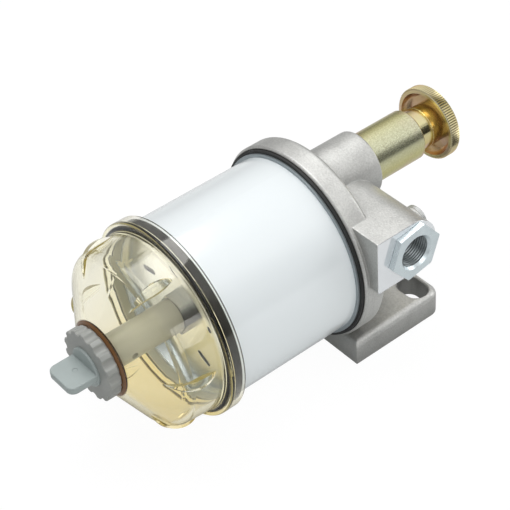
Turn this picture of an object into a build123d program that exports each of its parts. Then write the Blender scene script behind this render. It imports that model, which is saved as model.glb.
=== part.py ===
from build123d import *
import os

os.makedirs("parts", exist_ok=True)

# Fuel water separator: a cast head with a hand priming pump carries a spin-on
# filter canister, and a clear bowl with a drain valve closes the canister's far end.
# The canister lies along Y, the bowl towards -Y and the pump towards +Y.
# The origin is midway between the foot's two mounting slots, on its flat underside.
# Stations along the axis are counted from the head's gasket plane, towards the pump.
# Heights are counted from the canister axis. All sizes are in millimetres.

# Clearances between mating pieces
FIT = 0.05
LOOSE = 0.3

# Broken edges and rounded seals
BEVEL_ANGLE = 45.0
SEAL_ROUND = 0.35

# Canister: the round pieces of the head and the bowl follow its radius, the lower pieces its length
CANISTER_RADIUS = 54.0
CANISTER_END = 84.0
CANISTER_WALL = 0.9
CANISTER_CURL = 3.4
FLANGE_RADIUS = CANISTER_RADIUS + 2.0
FLANGE_FRONT = 2.6
FLANGE_BACK = 1.2
GASKET_LIP = 0.4
GASKET_LIP_GAP = 0.15
PLATE_DISH_RADIUS = CANISTER_RADIUS - 10.0
PLATE_WALL = 3.0
PLATE_DISH_DEPTH = 6.6
PLATE_THICKNESS = 3.2
PLATE_COLLAR_RADIUS = 17.0
PLATE_COLLAR_END = 13.0
PLATE_HOLE = 3.5
PLATE_HOLE_CIRCLE = 31.0
PLATE_HOLES = 8

# Layout of the head
RING_RADIUS = CANISTER_RADIUS + 5.5
AXIS_HEIGHT = RING_RADIUS + 1.5
SLOT_STATION = 57.0
PUMP_RISE = RING_RADIUS - 29.5

# Head ring, gasket land and fuel chamber
RING_DEPTH = 14.5
RING_CHAMFER = 1.2
RING_ROUND = 3.0
JUNCTION_ROUND = 4.0
GASKET_INNER = CANISTER_RADIUS - 4.0
GASKET_OUTER = CANISTER_RADIUS + 3.8
GASKET_LAND = 2.5
GASKET_GAP = 0.2
CHAMBER_INNER = 20.0
CHAMBER_OUTER = CANISTER_RADIUS - 7.0
CHAMBER_DEPTH = 9.5
NECK_RADIUS = 28.0
NECK_END = 46.0
NECK_ROUND = 4.0

# Ports
PORT_STATION = 27.4
PORT_RADIUS = 17.5
PORT_FRONT = 2.8
PORT_REACH = RING_RADIUS + 6.4
PORT_EDGE_ROUND = 1.5
INLET_RISE = 20.2
OUTLET_RISE = -17.0
PASSAGE_RADIUS = 7.0
PORT_BORE = 9.2
FITTING_THREAD = 12.0
FITTING_DEPTH = 13.0
HEX_ACROSS_FLATS = 30.0
HEX_THICKNESS = 3.8
HEX_TURN = 9.9
HEX_CHAMFER_START = 1.6
HEX_CHAMFER_ANGLE = 60.0
PORT_SEAL_OUTER = 14.0
PORT_SEAL_THICKNESS = 1.6
VENT_POSITION = PORT_REACH - 16.9
VENT_BOSS_RADIUS = 8.0
VENT_BOSS_END = 45.6
VENT_HEAD_THICKNESS = 2.4
VENT_THREAD = 4.0
VENT_DEPTH = 5.0
VENT_EDGE = 0.5
VENT_KEY = 6.0
VENT_KEY_DEPTH = 2.2
VENT_DRILL = 1.5
DRILL_TIP = 1.0

# Foot
SLOT_SPACING = 71.0
FOOT_FRONT = 1.0
FOOT_BACK = 67.7
FOOT_HALF_WIDTH = SLOT_SPACING / 2 + 13.5
FOOT_THICKNESS = 15.5
FOOT_CORNER = 8.0
FOOT_EDGE_ROUND = 4.0
SLOT_WIDTH = 14.0
SLOT_LENGTH = 20.0
SLOT_EDGE = 1.0
WEB_HALF_WIDTH = 20.0

# Priming pump
BARREL_RADIUS = 15.25
BARREL_BORE = BARREL_RADIUS - 1.65
BARREL_CHAMFER = 1.0
SPIGOT_RADIUS = BARREL_RADIUS - 1.25
SPIGOT_BORE = SPIGOT_RADIUS - 2.5
BOSS_RADIUS = BARREL_RADIUS + 4.25
BOSS_END = 50.0
BOSS_ROUND = 1.2
BARREL_END = BOSS_END + 37.3
BARREL_SEAL_OUTER = SPIGOT_RADIUS + 2.4
BARREL_SEAL_THICKNESS = 1.5
GUIDE_START = BARREL_END - 8.3
ROD_SEAL_START = GUIDE_START + 3.0
ROD_SEAL_WIDTH = 1.5
ROD_SEAL_GROOVE = 1.4
PLUNGER_RADIUS = BARREL_BORE - 1.25
PLUNGER_BORE = PLUNGER_RADIUS - 1.75
PLUNGER_WEB = 4.0
PLUNGER_MARK = BARREL_END + 8.2
PLUNGER_MARK_WIDTH = 0.5
PLUNGER_MARK_DEPTH = 0.25
PISTON_LENGTH = 11.0
PISTON_SEAL_WIDTH = 2.6
PISTON_SEAL_DEPTH = 2.0
SCREW_SHOULDER = 4.0
SCREW_HEAD_RADIUS = 6.5
SCREW_HEAD_HEIGHT = 3.2
SCREW_THREAD = 2.5
SCREW_DEPTH = 7.0
SCREW_KEY = 5.0
KNOB_RADIUS = 22.3
KNOB_FRONT = BARREL_END + 13.4
KNOB_FLOOR = KNOB_FRONT + 4.3
KNOB_BACK = KNOB_FLOOR + 2.3
KNOB_RECESS_MOUTH = KNOB_RADIUS - 2.8
KNOB_RECESS_FLOOR = KNOB_RECESS_MOUTH - 3.0
KNOB_RECESS_BULGE = 1.0
KNOB_EDGE = 0.7
KNOB_SPIGOT = 6.0
KNOB_SPIGOT_WALL = 3.0

# Pump valves
VALVE_PLATE_START = BOSS_END - 17.0
VALVE_PLATE_RADIUS = SPIGOT_RADIUS - 1.5
VALVE_PLATE_THICKNESS = 4.0
VALVE_OFFSET = VALVE_PLATE_RADIUS - 7.3
VALVE_RADIUS = 3.6
VALVE_THICKNESS = 1.0
VALVE_STEM = 1.0
VALVE_BULB = 1.5
VALVE_BULB_LENGTH = 1.4
VALVE_PORT = 0.7
VALVE_PORT_CIRCLE = 2.3
VALVE_PORTS = 6
POCKET_RADIUS = 10.0
POCKET_WALL = 1.5
SUCTION_POCKET_START = 20.3
SPRING_WIRE = 0.6
SPRING_RADIUS = SPIGOT_BORE - 1.1
SPRING_TURNS = 7

# Threaded filter nipple
NIPPLE_RADIUS = 12.0
NIPPLE_BORE = 8.5
NIPPLE_DEPTH = 20.0
NIPPLE_REACH = 24.0
NIPPLE_COLLAR_RADIUS = 15.0
NIPPLE_COLLAR_THICKNESS = 2.0
NIPPLE_EDGE = 1.0
OUTLET_WELL_RADIUS = 8.0
OUTLET_WELL_END = 34.0

# Filter element
ELEMENT_TOP = 18.0
ELEMENT_BOTTOM = CANISTER_END - 16.0
ELEMENT_OUTER = CANISTER_RADIUS - 8.0
ELEMENT_INNER = 21.0
PLEATS = 36
PAPER = 0.8
PLEAT_TIP = 1.4
PLEAT_GAP = 0.3
CAP_RADIUS = ELEMENT_OUTER + 1.5
CAP_THICKNESS = 1.5
CAP_SKIRT = 4.0
CAP_WALL = 0.8
TUBE_RADIUS = 19.5
TUBE_WALL = 0.8
TUBE_HOLE = 3.0
TUBE_HOLE_ROWS = 4
TUBE_HOLE_COLUMNS = 3
GROMMET_RADIUS = 15.5
GROMMET_FLANGE = 18.0
GROMMET_THICKNESS = 1.2
ELEMENT_SPRING_WIRE = 1.0
ELEMENT_SPRING_RADIUS = 18.0
ELEMENT_SPRING_TURNS = 2

# Bottom plate and stem hub
END_PLATE_STATION = CANISTER_END - 4.0
END_PLATE_THICKNESS = 1.4
END_PLATE_RIM = 1.4
END_SLOTS = 5
END_SLOT_FIRST = -58.0
END_SLOT_RADIUS = 30.0
END_SLOT_TILT = 30.0
END_SLOT_LENGTH = 11.0
END_SLOT_WIDTH = 3.6
HUB_ACROSS_FLATS = 21.0
HUB_END = END_PLATE_STATION + 6.0
HUB_TAIL_RADIUS = 9.0
HUB_TAIL_LENGTH = 3.0

# Bowl
BOWL_RADIUS = CANISTER_RADIUS + 4.5
BOWL_SOCKET_RADIUS = CANISTER_RADIUS + 2.6
BOWL_RIM_START = CANISTER_END - 0.5
BOWL_RIM_END = CANISTER_END + 8.3
BOWL_LEDGE = CANISTER_END + 5.6
BOWL_THROAT = CANISTER_RADIUS - 0.4
BOWL_SHOULDER = CANISTER_END + 31.5
BOWL_SHOULDER_RADIUS = BOWL_THROAT - 1.4
BOWL_END = BOWL_SHOULDER + 18.9
BOWL_END_RADIUS = 21.0
BOWL_WALL = 2.8
BOWL_FLOOR = 3.4
BOWL_ROUND = 8.0
BOWL_NECK_ROUND = 3.0
BOWL_RIM_ROUND = 1.0
BOWL_FOOT_ROUND = 1.0
BOWL_GASKET_OUTER = BOWL_SOCKET_RADIUS - 0.1
BOWL_GASKET_INNER = BOWL_THROAT - 2.4
RIBS = 6
RIB_FIRST = 5.0
RIB_START = BOWL_SHOULDER - 19.0
RIB_END = BOWL_SHOULDER + 7.0
RIB_CREST = BOWL_SHOULDER - 2.0
RIB_RISE = 1.6
RIB_WIDTH = 6.0

# Hollow stem, hand nut and drain valve
STEM_RADIUS = 9.8
STEM_BORE = 5.1
STEM_END = BOWL_END + 7.2
STEM_THREAD = 7.0
STEM_THREAD_BORE = 3.5
STEM_THREAD_LENGTH = 11.0
STEM_WELL_END = BOWL_END - 22.4
STEM_HOLE = 2.0
STEM_HOLE_STATION = BOWL_END - 16.9
STEM_HOLE_ANGLE = -10.0
NUT_SEAL_OUTER = 17.0
NUT_SEAL_INNER = 10.4
NUT_SEAL_THICKNESS = 1.4
NUT_CREST = 21.0
NUT_END = BOWL_END + 7.6
NUT_LOBES = 15
NUT_FIRST_GROOVE = 10.0
NUT_GROOVE_RADIUS = 3.0
NUT_GROOVE_DEPTH = 1.9
NUT_LOBE_ROUND = 1.0
NUT_EDGE = 0.4
NUT_BACK_EDGE = 1.2
DRAIN_FLANGE_RADIUS = 11.6
DRAIN_FLANGE_THICKNESS = 1.6
DRAIN_SHANK_LENGTH = 20.0
DRAIN_TIP_LENGTH = 5.0
DRAIN_TIP_RADIUS = 2.5
DRAIN_SEAL_START = BOWL_END + 2.6
DRAIN_SEAL_WIDTH = 1.9
DRAIN_SEAL_DEPTH = 1.3
PADDLE_START = NUT_END + DRAIN_FLANGE_THICKNESS / 2
PADDLE_END = NUT_END + 18.0
PADDLE_HALF_WIDTH = 11.2
PADDLE_THICKNESS = 4.6
PADDLE_CORNER = 4.5
PADDLE_EDGE_ROUND = 0.8
PADDLE_MARK = NUT_END + 7.5
PADDLE_MARK_RADIUS = 1.5
PADDLE_MARK_DEPTH = 0.25

# Frames of reference: a turned section is drawn with x as the station and y as the radius
FILTER_Y = -SLOT_STATION
TURNING = Plane(origin=(0, FILTER_Y, AXIS_HEIGHT), x_dir=(0, 1, 0), z_dir=(1, 0, 0))
CANISTER_AXIS = Axis((0, FILTER_Y, AXIS_HEIGHT), (0, 1, 0))
PUMP_TURNING = Plane(origin=(0, FILTER_Y, AXIS_HEIGHT + PUMP_RISE), x_dir=(0, 1, 0), z_dir=(1, 0, 0))
PUMP_AXIS = Axis((0, FILTER_Y, AXIS_HEIGHT + PUMP_RISE), (0, 1, 0))


def facing(station, x=0, rise=0):
    """A plane square to the canister axis, looking at the bowl: x across, y up."""
    return Plane(origin=(x, FILTER_Y + station, AXIS_HEIGHT + rise), x_dir=(1, 0, 0), z_dir=(0, -1, 0))


def side(x, rise=0):
    """A plane square to X at the port station: x along the canister, y up."""
    return Plane(origin=(x, FILTER_Y + PORT_STATION, AXIS_HEIGHT + rise), x_dir=(0, 1, 0), z_dir=(1, 0, 0))


def band(start, end, inner, outer, mode=Mode.ADD):
    """A rectangle of a turned section, between two stations and two radii."""
    with Locations(((start + end) / 2, (inner + outer) / 2)):
        Rectangle(end - start, outer - inner, mode=mode)


# Head casting: foot, ring, neck, pump boss and two port blocks in one piece
with BuildPart() as head_casting:
    with BuildSketch(Plane.XY):
        with Locations((0, FILTER_Y + (FOOT_FRONT + FOOT_BACK) / 2)):
            Rectangle(2 * FOOT_HALF_WIDTH, FOOT_BACK - FOOT_FRONT)
        fillet(vertices().group_by(Axis.Y)[-1], FOOT_CORNER)
    extrude(amount=FOOT_THICKNESS)
    fillet(edges().group_by(Axis.Z)[-1], FOOT_EDGE_ROUND)

    with BuildSketch(TURNING):
        with BuildLine():
            Polyline(
                (0, 0),
                (0, RING_RADIUS - RING_CHAMFER),
                (RING_CHAMFER, RING_RADIUS),
                (RING_DEPTH - RING_ROUND, RING_RADIUS),
            )
            RadiusArc(
                (RING_DEPTH - RING_ROUND, RING_RADIUS),
                (RING_DEPTH, RING_RADIUS - RING_ROUND),
                RING_ROUND,
            )
            Polyline((RING_DEPTH, RING_RADIUS - RING_ROUND), (RING_DEPTH, 0), (0, 0))
        make_face()
        band(RING_DEPTH, NECK_END, 0, NECK_RADIUS)
        fillet(vertices().sort_by_distance((NECK_END, NECK_RADIUS))[0], NECK_ROUND)
        fillet(vertices().sort_by_distance((RING_DEPTH, NECK_RADIUS))[0], JUNCTION_ROUND)
    revolve(axis=CANISTER_AXIS)

    with BuildSketch(facing(GASKET_LAND)):
        with Locations((0, -AXIS_HEIGHT / 2)):
            Rectangle(2 * WEB_HALF_WIDTH, AXIS_HEIGHT)
        with Locations((0, FOOT_THICKNESS / 2 - AXIS_HEIGHT)):
            Rectangle(2 * (WEB_HALF_WIDTH + 2 * JUNCTION_ROUND), FOOT_THICKNESS)
        web_corners = vertices().filter_by_position(
            Axis.X, -WEB_HALF_WIDTH, WEB_HALF_WIDTH
        ).filter_by_position(Axis.Y, FOOT_THICKNESS - AXIS_HEIGHT - FIT, FOOT_THICKNESS - AXIS_HEIGHT + FIT)
        fillet(web_corners, JUNCTION_ROUND)
    extrude(amount=GASKET_LAND - NECK_END + NECK_ROUND)

    with BuildSketch(PUMP_TURNING):
        band(CHAMBER_DEPTH, BOSS_END, 0, BOSS_RADIUS)
        band(CHAMBER_DEPTH, RING_DEPTH, 0, BOSS_RADIUS + JUNCTION_ROUND + BOSS_ROUND)
        fillet(vertices().sort_by_distance((BOSS_END, BOSS_RADIUS))[0], BOSS_ROUND)
        fillet(vertices().sort_by_distance((RING_DEPTH, BOSS_RADIUS))[0], JUNCTION_ROUND)
    revolve(axis=PUMP_AXIS)

    for port_side, rise in ((1, INLET_RISE), (-1, OUTLET_RISE)):
        with BuildSketch(side(0, rise)) as block_section:
            front = PORT_FRONT - PORT_STATION
            with Locations((front / 2, 0)):
                Rectangle(-front, 2 * PORT_RADIUS)
            fillet(vertices().group_by(Axis.Y)[0], PORT_EDGE_ROUND)
            Circle(PORT_RADIUS)
        extrude(amount=port_side * PORT_REACH)

    with BuildSketch(facing(PORT_STATION, VENT_POSITION, INLET_RISE)):
        Circle(VENT_BOSS_RADIUS)
    extrude(amount=PORT_STATION - VENT_BOSS_END)

    # Gasket land and the ring-shaped fuel chamber behind it
    with BuildSketch(TURNING):
        band(0, GASKET_LAND, 0, GASKET_OUTER + GASKET_GAP)
        band(GASKET_LAND, CHAMBER_DEPTH, CHAMBER_INNER, CHAMBER_OUTER)
        band(GASKET_LAND, NIPPLE_DEPTH, 0, NIPPLE_RADIUS + FIT)
        band(NIPPLE_DEPTH, OUTLET_WELL_END, 0, OUTLET_WELL_RADIUS)
    revolve(axis=CANISTER_AXIS, mode=Mode.SUBTRACT)

    # Pump bore, valve plate seat and the two pockets under the valve plate
    with BuildSketch(PUMP_TURNING):
        band(VALVE_PLATE_START, BOSS_END, 0, VALVE_PLATE_RADIUS + FIT)
        band(VALVE_PLATE_START + VALVE_PLATE_THICKNESS, BOSS_END, 0, SPIGOT_RADIUS + FIT)
        band(BOSS_END - BARREL_SEAL_THICKNESS, BOSS_END, 0, BARREL_SEAL_OUTER + FIT)
    revolve(axis=PUMP_AXIS, mode=Mode.SUBTRACT)
    for pocket_side, start in ((1, SUCTION_POCKET_START), (-1, CHAMBER_DEPTH)):
        with BuildSketch(facing(VALVE_PLATE_START, 0, PUMP_RISE)):
            Circle(POCKET_RADIUS)
            with Locations((-pocket_side * (POCKET_RADIUS - POCKET_WALL / 2), 0)):
                Rectangle(2 * POCKET_RADIUS, 2 * POCKET_RADIUS, mode=Mode.SUBTRACT)
        extrude(amount=VALVE_PLATE_START - start, mode=Mode.SUBTRACT)

    # Port threads, seal recesses and cross passages
    for port_side, rise in ((1, INLET_RISE), (-1, OUTLET_RISE)):
        with BuildSketch(side(port_side * PORT_REACH, rise)):
            Circle(PORT_SEAL_OUTER + FIT)
        extrude(amount=-port_side * PORT_SEAL_THICKNESS, mode=Mode.SUBTRACT)
        with BuildSketch(side(port_side * PORT_REACH, rise)):
            Circle(FITTING_THREAD + FIT)
        extrude(amount=-port_side * (FITTING_DEPTH + DRILL_TIP), mode=Mode.SUBTRACT)
        with BuildSketch(side(port_side * PORT_REACH, rise)):
            Circle(PASSAGE_RADIUS)
        extrude(amount=-port_side * (PORT_REACH - POCKET_WALL / 2), mode=Mode.SUBTRACT)
    with BuildSketch(Plane.XY.offset(AXIS_HEIGHT + OUTLET_RISE)):
        with Locations((0, FILTER_Y + PORT_STATION)):
            Circle(PASSAGE_RADIUS)
    extrude(amount=-OUTLET_RISE, mode=Mode.SUBTRACT)

    # Vent thread down to the inlet passage
    with BuildSketch(facing(VENT_BOSS_END, VENT_POSITION, INLET_RISE)):
        Circle(VENT_THREAD + FIT)
    extrude(amount=VENT_DEPTH + DRILL_TIP, mode=Mode.SUBTRACT)
    with BuildSketch(facing(VENT_BOSS_END, VENT_POSITION, INLET_RISE)):
        Circle(VENT_DRILL)
    extrude(amount=VENT_BOSS_END - PORT_STATION, mode=Mode.SUBTRACT)

    # Mounting slots through the foot
    with BuildSketch(Plane.XY):
        with Locations((-SLOT_SPACING / 2, 0), (SLOT_SPACING / 2, 0)):
            SlotOverall(SLOT_LENGTH, SLOT_WIDTH)
    extrude(amount=FOOT_THICKNESS, mode=Mode.SUBTRACT)
    for height, inward in ((0, 1), (FOOT_THICKNESS, -1)):
        with BuildSketch(Plane.XY.offset(height)):
            with Locations((-SLOT_SPACING / 2, 0), (SLOT_SPACING / 2, 0)):
                SlotOverall(SLOT_LENGTH + 2 * SLOT_EDGE, SLOT_WIDTH + 2 * SLOT_EDGE)
        extrude(amount=inward * SLOT_EDGE, taper=BEVEL_ANGLE, mode=Mode.SUBTRACT)
head_casting.part.label = "head_casting"
export_step(head_casting.part, "parts/head_casting.step")

# Threaded nipple that carries the canister, screwed into the head's middle
with BuildPart() as filter_nipple:
    with BuildSketch(TURNING):
        band(-NIPPLE_REACH, NIPPLE_DEPTH, NIPPLE_BORE, NIPPLE_RADIUS)
        band(GASKET_LAND - NIPPLE_COLLAR_THICKNESS, GASKET_LAND, NIPPLE_BORE, NIPPLE_COLLAR_RADIUS)
    revolve(axis=CANISTER_AXIS)
    chamfer(edges().group_by(Axis.Y)[0].sort_by(SortBy.RADIUS)[-1], NIPPLE_EDGE)
filter_nipple.part.label = "filter_nipple"
export_step(filter_nipple.part, "parts/filter_nipple.step")

# Port fittings with their flat seals: the outlet is the inlet's twin, turned to face -X
for port_name, port_side, rise in (("inlet", 1, INLET_RISE), ("outlet", -1, OUTLET_RISE)):
    with BuildPart() as port_fitting:
        with BuildSketch(side(port_side * PORT_REACH, rise)):
            RegularPolygon(HEX_ACROSS_FLATS / 2, 6, major_radius=False, rotation=HEX_TURN)
        extrude(amount=port_side * HEX_THICKNESS)
        face_x = port_side * (PORT_REACH + HEX_THICKNESS)
        with BuildSketch(side(face_x, rise)):
            Circle(HEX_ACROSS_FLATS / 2 + HEX_CHAMFER_START)
        extrude(amount=-port_side * HEX_THICKNESS, taper=-HEX_CHAMFER_ANGLE, mode=Mode.INTERSECT)
        with BuildSketch(side(port_side * PORT_REACH, rise)):
            Circle(FITTING_THREAD)
        extrude(amount=-port_side * FITTING_DEPTH)
        with BuildSketch(side(face_x, rise)):
            Circle(PORT_BORE)
        extrude(amount=-port_side * (HEX_THICKNESS + FITTING_DEPTH), mode=Mode.SUBTRACT)
    port_fitting.part.label = f"{port_name}_fitting"
    export_step(port_fitting.part, f"parts/{port_name}_fitting.step")

    with BuildPart() as port_seal:
        with BuildSketch(side(port_side * PORT_REACH, rise)):
            Circle(PORT_SEAL_OUTER)
            Circle(FITTING_THREAD + FIT, mode=Mode.SUBTRACT)
        extrude(amount=-port_side * PORT_SEAL_THICKNESS)
    port_seal.part.label = f"{port_name}_seal"
    export_step(port_seal.part, f"parts/{port_name}_seal.step")

# Vent plug with a hexagon socket, beside the inlet on the pump side
with BuildPart() as vent_plug:
    with BuildSketch(facing(VENT_BOSS_END, VENT_POSITION, INLET_RISE)):
        Circle(VENT_BOSS_RADIUS)
    extrude(amount=-VENT_HEAD_THICKNESS)
    chamfer(edges().group_by(Axis.Y)[-1], VENT_EDGE)
    with BuildSketch(facing(VENT_BOSS_END, VENT_POSITION, INLET_RISE)):
        Circle(VENT_THREAD)
    extrude(amount=VENT_DEPTH)
    with BuildSketch(facing(VENT_BOSS_END + VENT_HEAD_THICKNESS, VENT_POSITION, INLET_RISE)):
        RegularPolygon(VENT_KEY / 2, 6, major_radius=False)
    extrude(amount=VENT_KEY_DEPTH, mode=Mode.SUBTRACT)
vent_plug.part.label = "vent_plug"
export_step(vent_plug.part, "parts/vent_plug.step")

# Pump barrel: threaded spigot, cylinder bore and a guide for the plunger at its far end
VALVE_PLATE_END = VALVE_PLATE_START + VALVE_PLATE_THICKNESS
with BuildPart() as pump_barrel:
    with BuildSketch(PUMP_TURNING):
        band(BOSS_END, BARREL_END, 0, BARREL_RADIUS)
        chamfer(vertices().sort_by_distance((BARREL_END, BARREL_RADIUS))[0], BARREL_CHAMFER)
        band(VALVE_PLATE_END, BOSS_END, 0, SPIGOT_RADIUS)
    revolve(axis=PUMP_AXIS)
    with BuildSketch(PUMP_TURNING):
        band(VALVE_PLATE_END, BOSS_END, 0, SPIGOT_BORE)
        band(BOSS_END, GUIDE_START, 0, BARREL_BORE)
        band(GUIDE_START, BARREL_END, 0, PLUNGER_RADIUS + FIT)
        band(ROD_SEAL_START, ROD_SEAL_START + ROD_SEAL_WIDTH, 0, PLUNGER_RADIUS + ROD_SEAL_GROOVE)
    revolve(axis=PUMP_AXIS, mode=Mode.SUBTRACT)
pump_barrel.part.label = "pump_barrel"
export_step(pump_barrel.part, "parts/pump_barrel.step")

# Flat seal under the barrel's shoulder
with BuildPart() as barrel_seal:
    with BuildSketch(PUMP_TURNING):
        band(BOSS_END - BARREL_SEAL_THICKNESS, BOSS_END, SPIGOT_RADIUS + FIT, BARREL_SEAL_OUTER)
    revolve(axis=PUMP_AXIS)
barrel_seal.part.label = "barrel_seal"
export_step(barrel_seal.part, "parts/barrel_seal.step")

# Rod seal in the groove of the barrel's guide
with BuildPart() as rod_seal:
    with BuildSketch(PUMP_TURNING):
        band(
            ROD_SEAL_START,
            ROD_SEAL_START + ROD_SEAL_WIDTH,
            PLUNGER_RADIUS + FIT,
            PLUNGER_RADIUS + ROD_SEAL_GROOVE - FIT,
        )
        fillet(vertices().group_by(Axis.Y)[0], SEAL_ROUND)
    revolve(axis=PUMP_AXIS)
rod_seal.part.label = "rod_seal"
export_step(rod_seal.part, "parts/rod_seal.step")

# Brass valve plate with two rings of small ports and a hole for each valve's stem
with BuildPart() as valve_plate:
    with BuildSketch(facing(VALVE_PLATE_START, 0, PUMP_RISE)):
        Circle(VALVE_PLATE_RADIUS)
        with Locations((-VALVE_OFFSET, 0), (VALVE_OFFSET, 0)):
            Circle(VALVE_STEM + FIT, mode=Mode.SUBTRACT)
            with PolarLocations(VALVE_PORT_CIRCLE, VALVE_PORTS):
                Circle(VALVE_PORT, mode=Mode.SUBTRACT)
    extrude(amount=-VALVE_PLATE_THICKNESS)
valve_plate.part.label = "valve_plate"
export_step(valve_plate.part, "parts/valve_plate.step")

# Rubber umbrella valves: suction opens into the pump, delivery opens towards the chamber
with BuildPart() as suction_valve:
    with BuildSketch(facing(VALVE_PLATE_END, VALVE_OFFSET, PUMP_RISE)):
        Circle(VALVE_RADIUS)
    extrude(amount=-VALVE_THICKNESS)
    with BuildSketch(facing(VALVE_PLATE_END, VALVE_OFFSET, PUMP_RISE)):
        Circle(VALVE_STEM)
    extrude(amount=VALVE_PLATE_THICKNESS)
    with BuildSketch(facing(VALVE_PLATE_START, VALVE_OFFSET, PUMP_RISE)):
        Circle(VALVE_BULB)
    extrude(amount=VALVE_BULB_LENGTH)
suction_valve.part.label = "suction_valve"
export_step(suction_valve.part, "parts/suction_valve.step")

with BuildPart() as delivery_valve:
    with BuildSketch(facing(VALVE_PLATE_START, -VALVE_OFFSET, PUMP_RISE)):
        Circle(VALVE_RADIUS)
    extrude(amount=VALVE_THICKNESS)
    with BuildSketch(facing(VALVE_PLATE_START, -VALVE_OFFSET, PUMP_RISE)):
        Circle(VALVE_STEM)
    extrude(amount=-VALVE_PLATE_THICKNESS)
    with BuildSketch(facing(VALVE_PLATE_END, -VALVE_OFFSET, PUMP_RISE)):
        Circle(VALVE_BULB)
    extrude(amount=-VALVE_BULB_LENGTH)
delivery_valve.part.label = "delivery_valve"
export_step(delivery_valve.part, "parts/delivery_valve.step")

# Piston with a seal groove and a pocket for the return spring
PISTON_START = GUIDE_START - PISTON_LENGTH
PISTON_SEAL_START = PISTON_START + (PISTON_LENGTH - PISTON_SEAL_WIDTH) / 2
SPRING_POCKET = SPRING_RADIUS + SPRING_WIRE + LOOSE
PISTON_RADIUS = BARREL_BORE - FIT
with BuildPart() as pump_piston:
    with BuildSketch(PUMP_TURNING):
        band(PISTON_START, GUIDE_START, 0, PISTON_RADIUS)
        band(PISTON_START, PISTON_START + 2 * SPRING_WIRE, 0, SPRING_POCKET, mode=Mode.SUBTRACT)
        band(
            PISTON_SEAL_START,
            PISTON_SEAL_START + PISTON_SEAL_WIDTH,
            PISTON_RADIUS - PISTON_SEAL_DEPTH,
            PISTON_RADIUS,
            mode=Mode.SUBTRACT,
        )
        band(GUIDE_START - SCREW_DEPTH, GUIDE_START, 0, SCREW_THREAD + FIT, mode=Mode.SUBTRACT)
    revolve(axis=PUMP_AXIS)
pump_piston.part.label = "pump_piston"
export_step(pump_piston.part, "parts/pump_piston.step")

# Piston seal
with BuildPart() as piston_seal:
    with BuildSketch(PUMP_TURNING):
        band(
            PISTON_SEAL_START,
            PISTON_SEAL_START + PISTON_SEAL_WIDTH,
            PISTON_RADIUS - PISTON_SEAL_DEPTH + FIT,
            PISTON_RADIUS,
        )
        fillet(vertices().group_by(Axis.Y)[-1], SEAL_ROUND)
    revolve(axis=PUMP_AXIS)
piston_seal.part.label = "piston_seal"
export_step(piston_seal.part, "parts/piston_seal.step")

# Shoulder screw on which the plunger swivels
SHOULDER_END = GUIDE_START + PLUNGER_WEB + FIT
with BuildPart() as piston_screw:
    with BuildSketch(PUMP_TURNING):
        band(GUIDE_START - SCREW_DEPTH, GUIDE_START, 0, SCREW_THREAD)
        band(GUIDE_START, SHOULDER_END, 0, SCREW_SHOULDER)
        band(SHOULDER_END, SHOULDER_END + SCREW_HEAD_HEIGHT, 0, SCREW_HEAD_RADIUS)
    revolve(axis=PUMP_AXIS)
    with BuildSketch(facing(SHOULDER_END + SCREW_HEAD_HEIGHT, 0, PUMP_RISE)):
        RegularPolygon(SCREW_KEY / 2, 6, major_radius=False)
    extrude(amount=SCREW_HEAD_HEIGHT / 2, mode=Mode.SUBTRACT)
piston_screw.part.label = "piston_screw"
export_step(piston_screw.part, "parts/piston_screw.step")

# Plunger tube, closed by a web at the piston, with a fine turned groove near the knob
with BuildPart() as plunger_tube:
    with BuildSketch(PUMP_TURNING):
        band(GUIDE_START, KNOB_FLOOR, 0, PLUNGER_RADIUS)
        band(
            PLUNGER_MARK,
            PLUNGER_MARK + PLUNGER_MARK_WIDTH,
            PLUNGER_RADIUS - PLUNGER_MARK_DEPTH,
            PLUNGER_RADIUS,
            mode=Mode.SUBTRACT,
        )
        band(GUIDE_START, KNOB_FLOOR, 0, SCREW_SHOULDER + FIT, mode=Mode.SUBTRACT)
        band(GUIDE_START + PLUNGER_WEB, KNOB_FLOOR, 0, PLUNGER_BORE, mode=Mode.SUBTRACT)
    revolve(axis=PUMP_AXIS)
plunger_tube.part.label = "plunger_tube"
export_step(plunger_tube.part, "parts/plunger_tube.step")

# Knob: a dished cap with a round-bottomed recess and a spigot inside the plunger tube
with BuildPart() as pump_knob:
    with BuildSketch(PUMP_TURNING):
        band(KNOB_FRONT, KNOB_BACK, 0, KNOB_RADIUS)
        chamfer(vertices().group_by(Axis.Y)[-1], KNOB_EDGE)
        with BuildLine():
            recess_wall = ThreePointArc(
                (KNOB_FLOOR, KNOB_RECESS_FLOOR),
                (
                    (KNOB_FLOOR + KNOB_FRONT) / 2 + KNOB_RECESS_BULGE,
                    (KNOB_RECESS_FLOOR + KNOB_RECESS_MOUTH) / 2 + KNOB_RECESS_BULGE / 2,
                ),
                (KNOB_FRONT, KNOB_RECESS_MOUTH),
            )
            Polyline(recess_wall @ 1, (KNOB_FRONT, 0), (KNOB_FLOOR, 0), recess_wall @ 0)
        make_face(mode=Mode.SUBTRACT)
        band(KNOB_FLOOR - KNOB_SPIGOT, KNOB_FLOOR, PLUNGER_BORE - KNOB_SPIGOT_WALL, PLUNGER_BORE - FIT)
    revolve(axis=PUMP_AXIS)
pump_knob.part.label = "pump_knob"
export_step(pump_knob.part, "parts/pump_knob.step")

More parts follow.
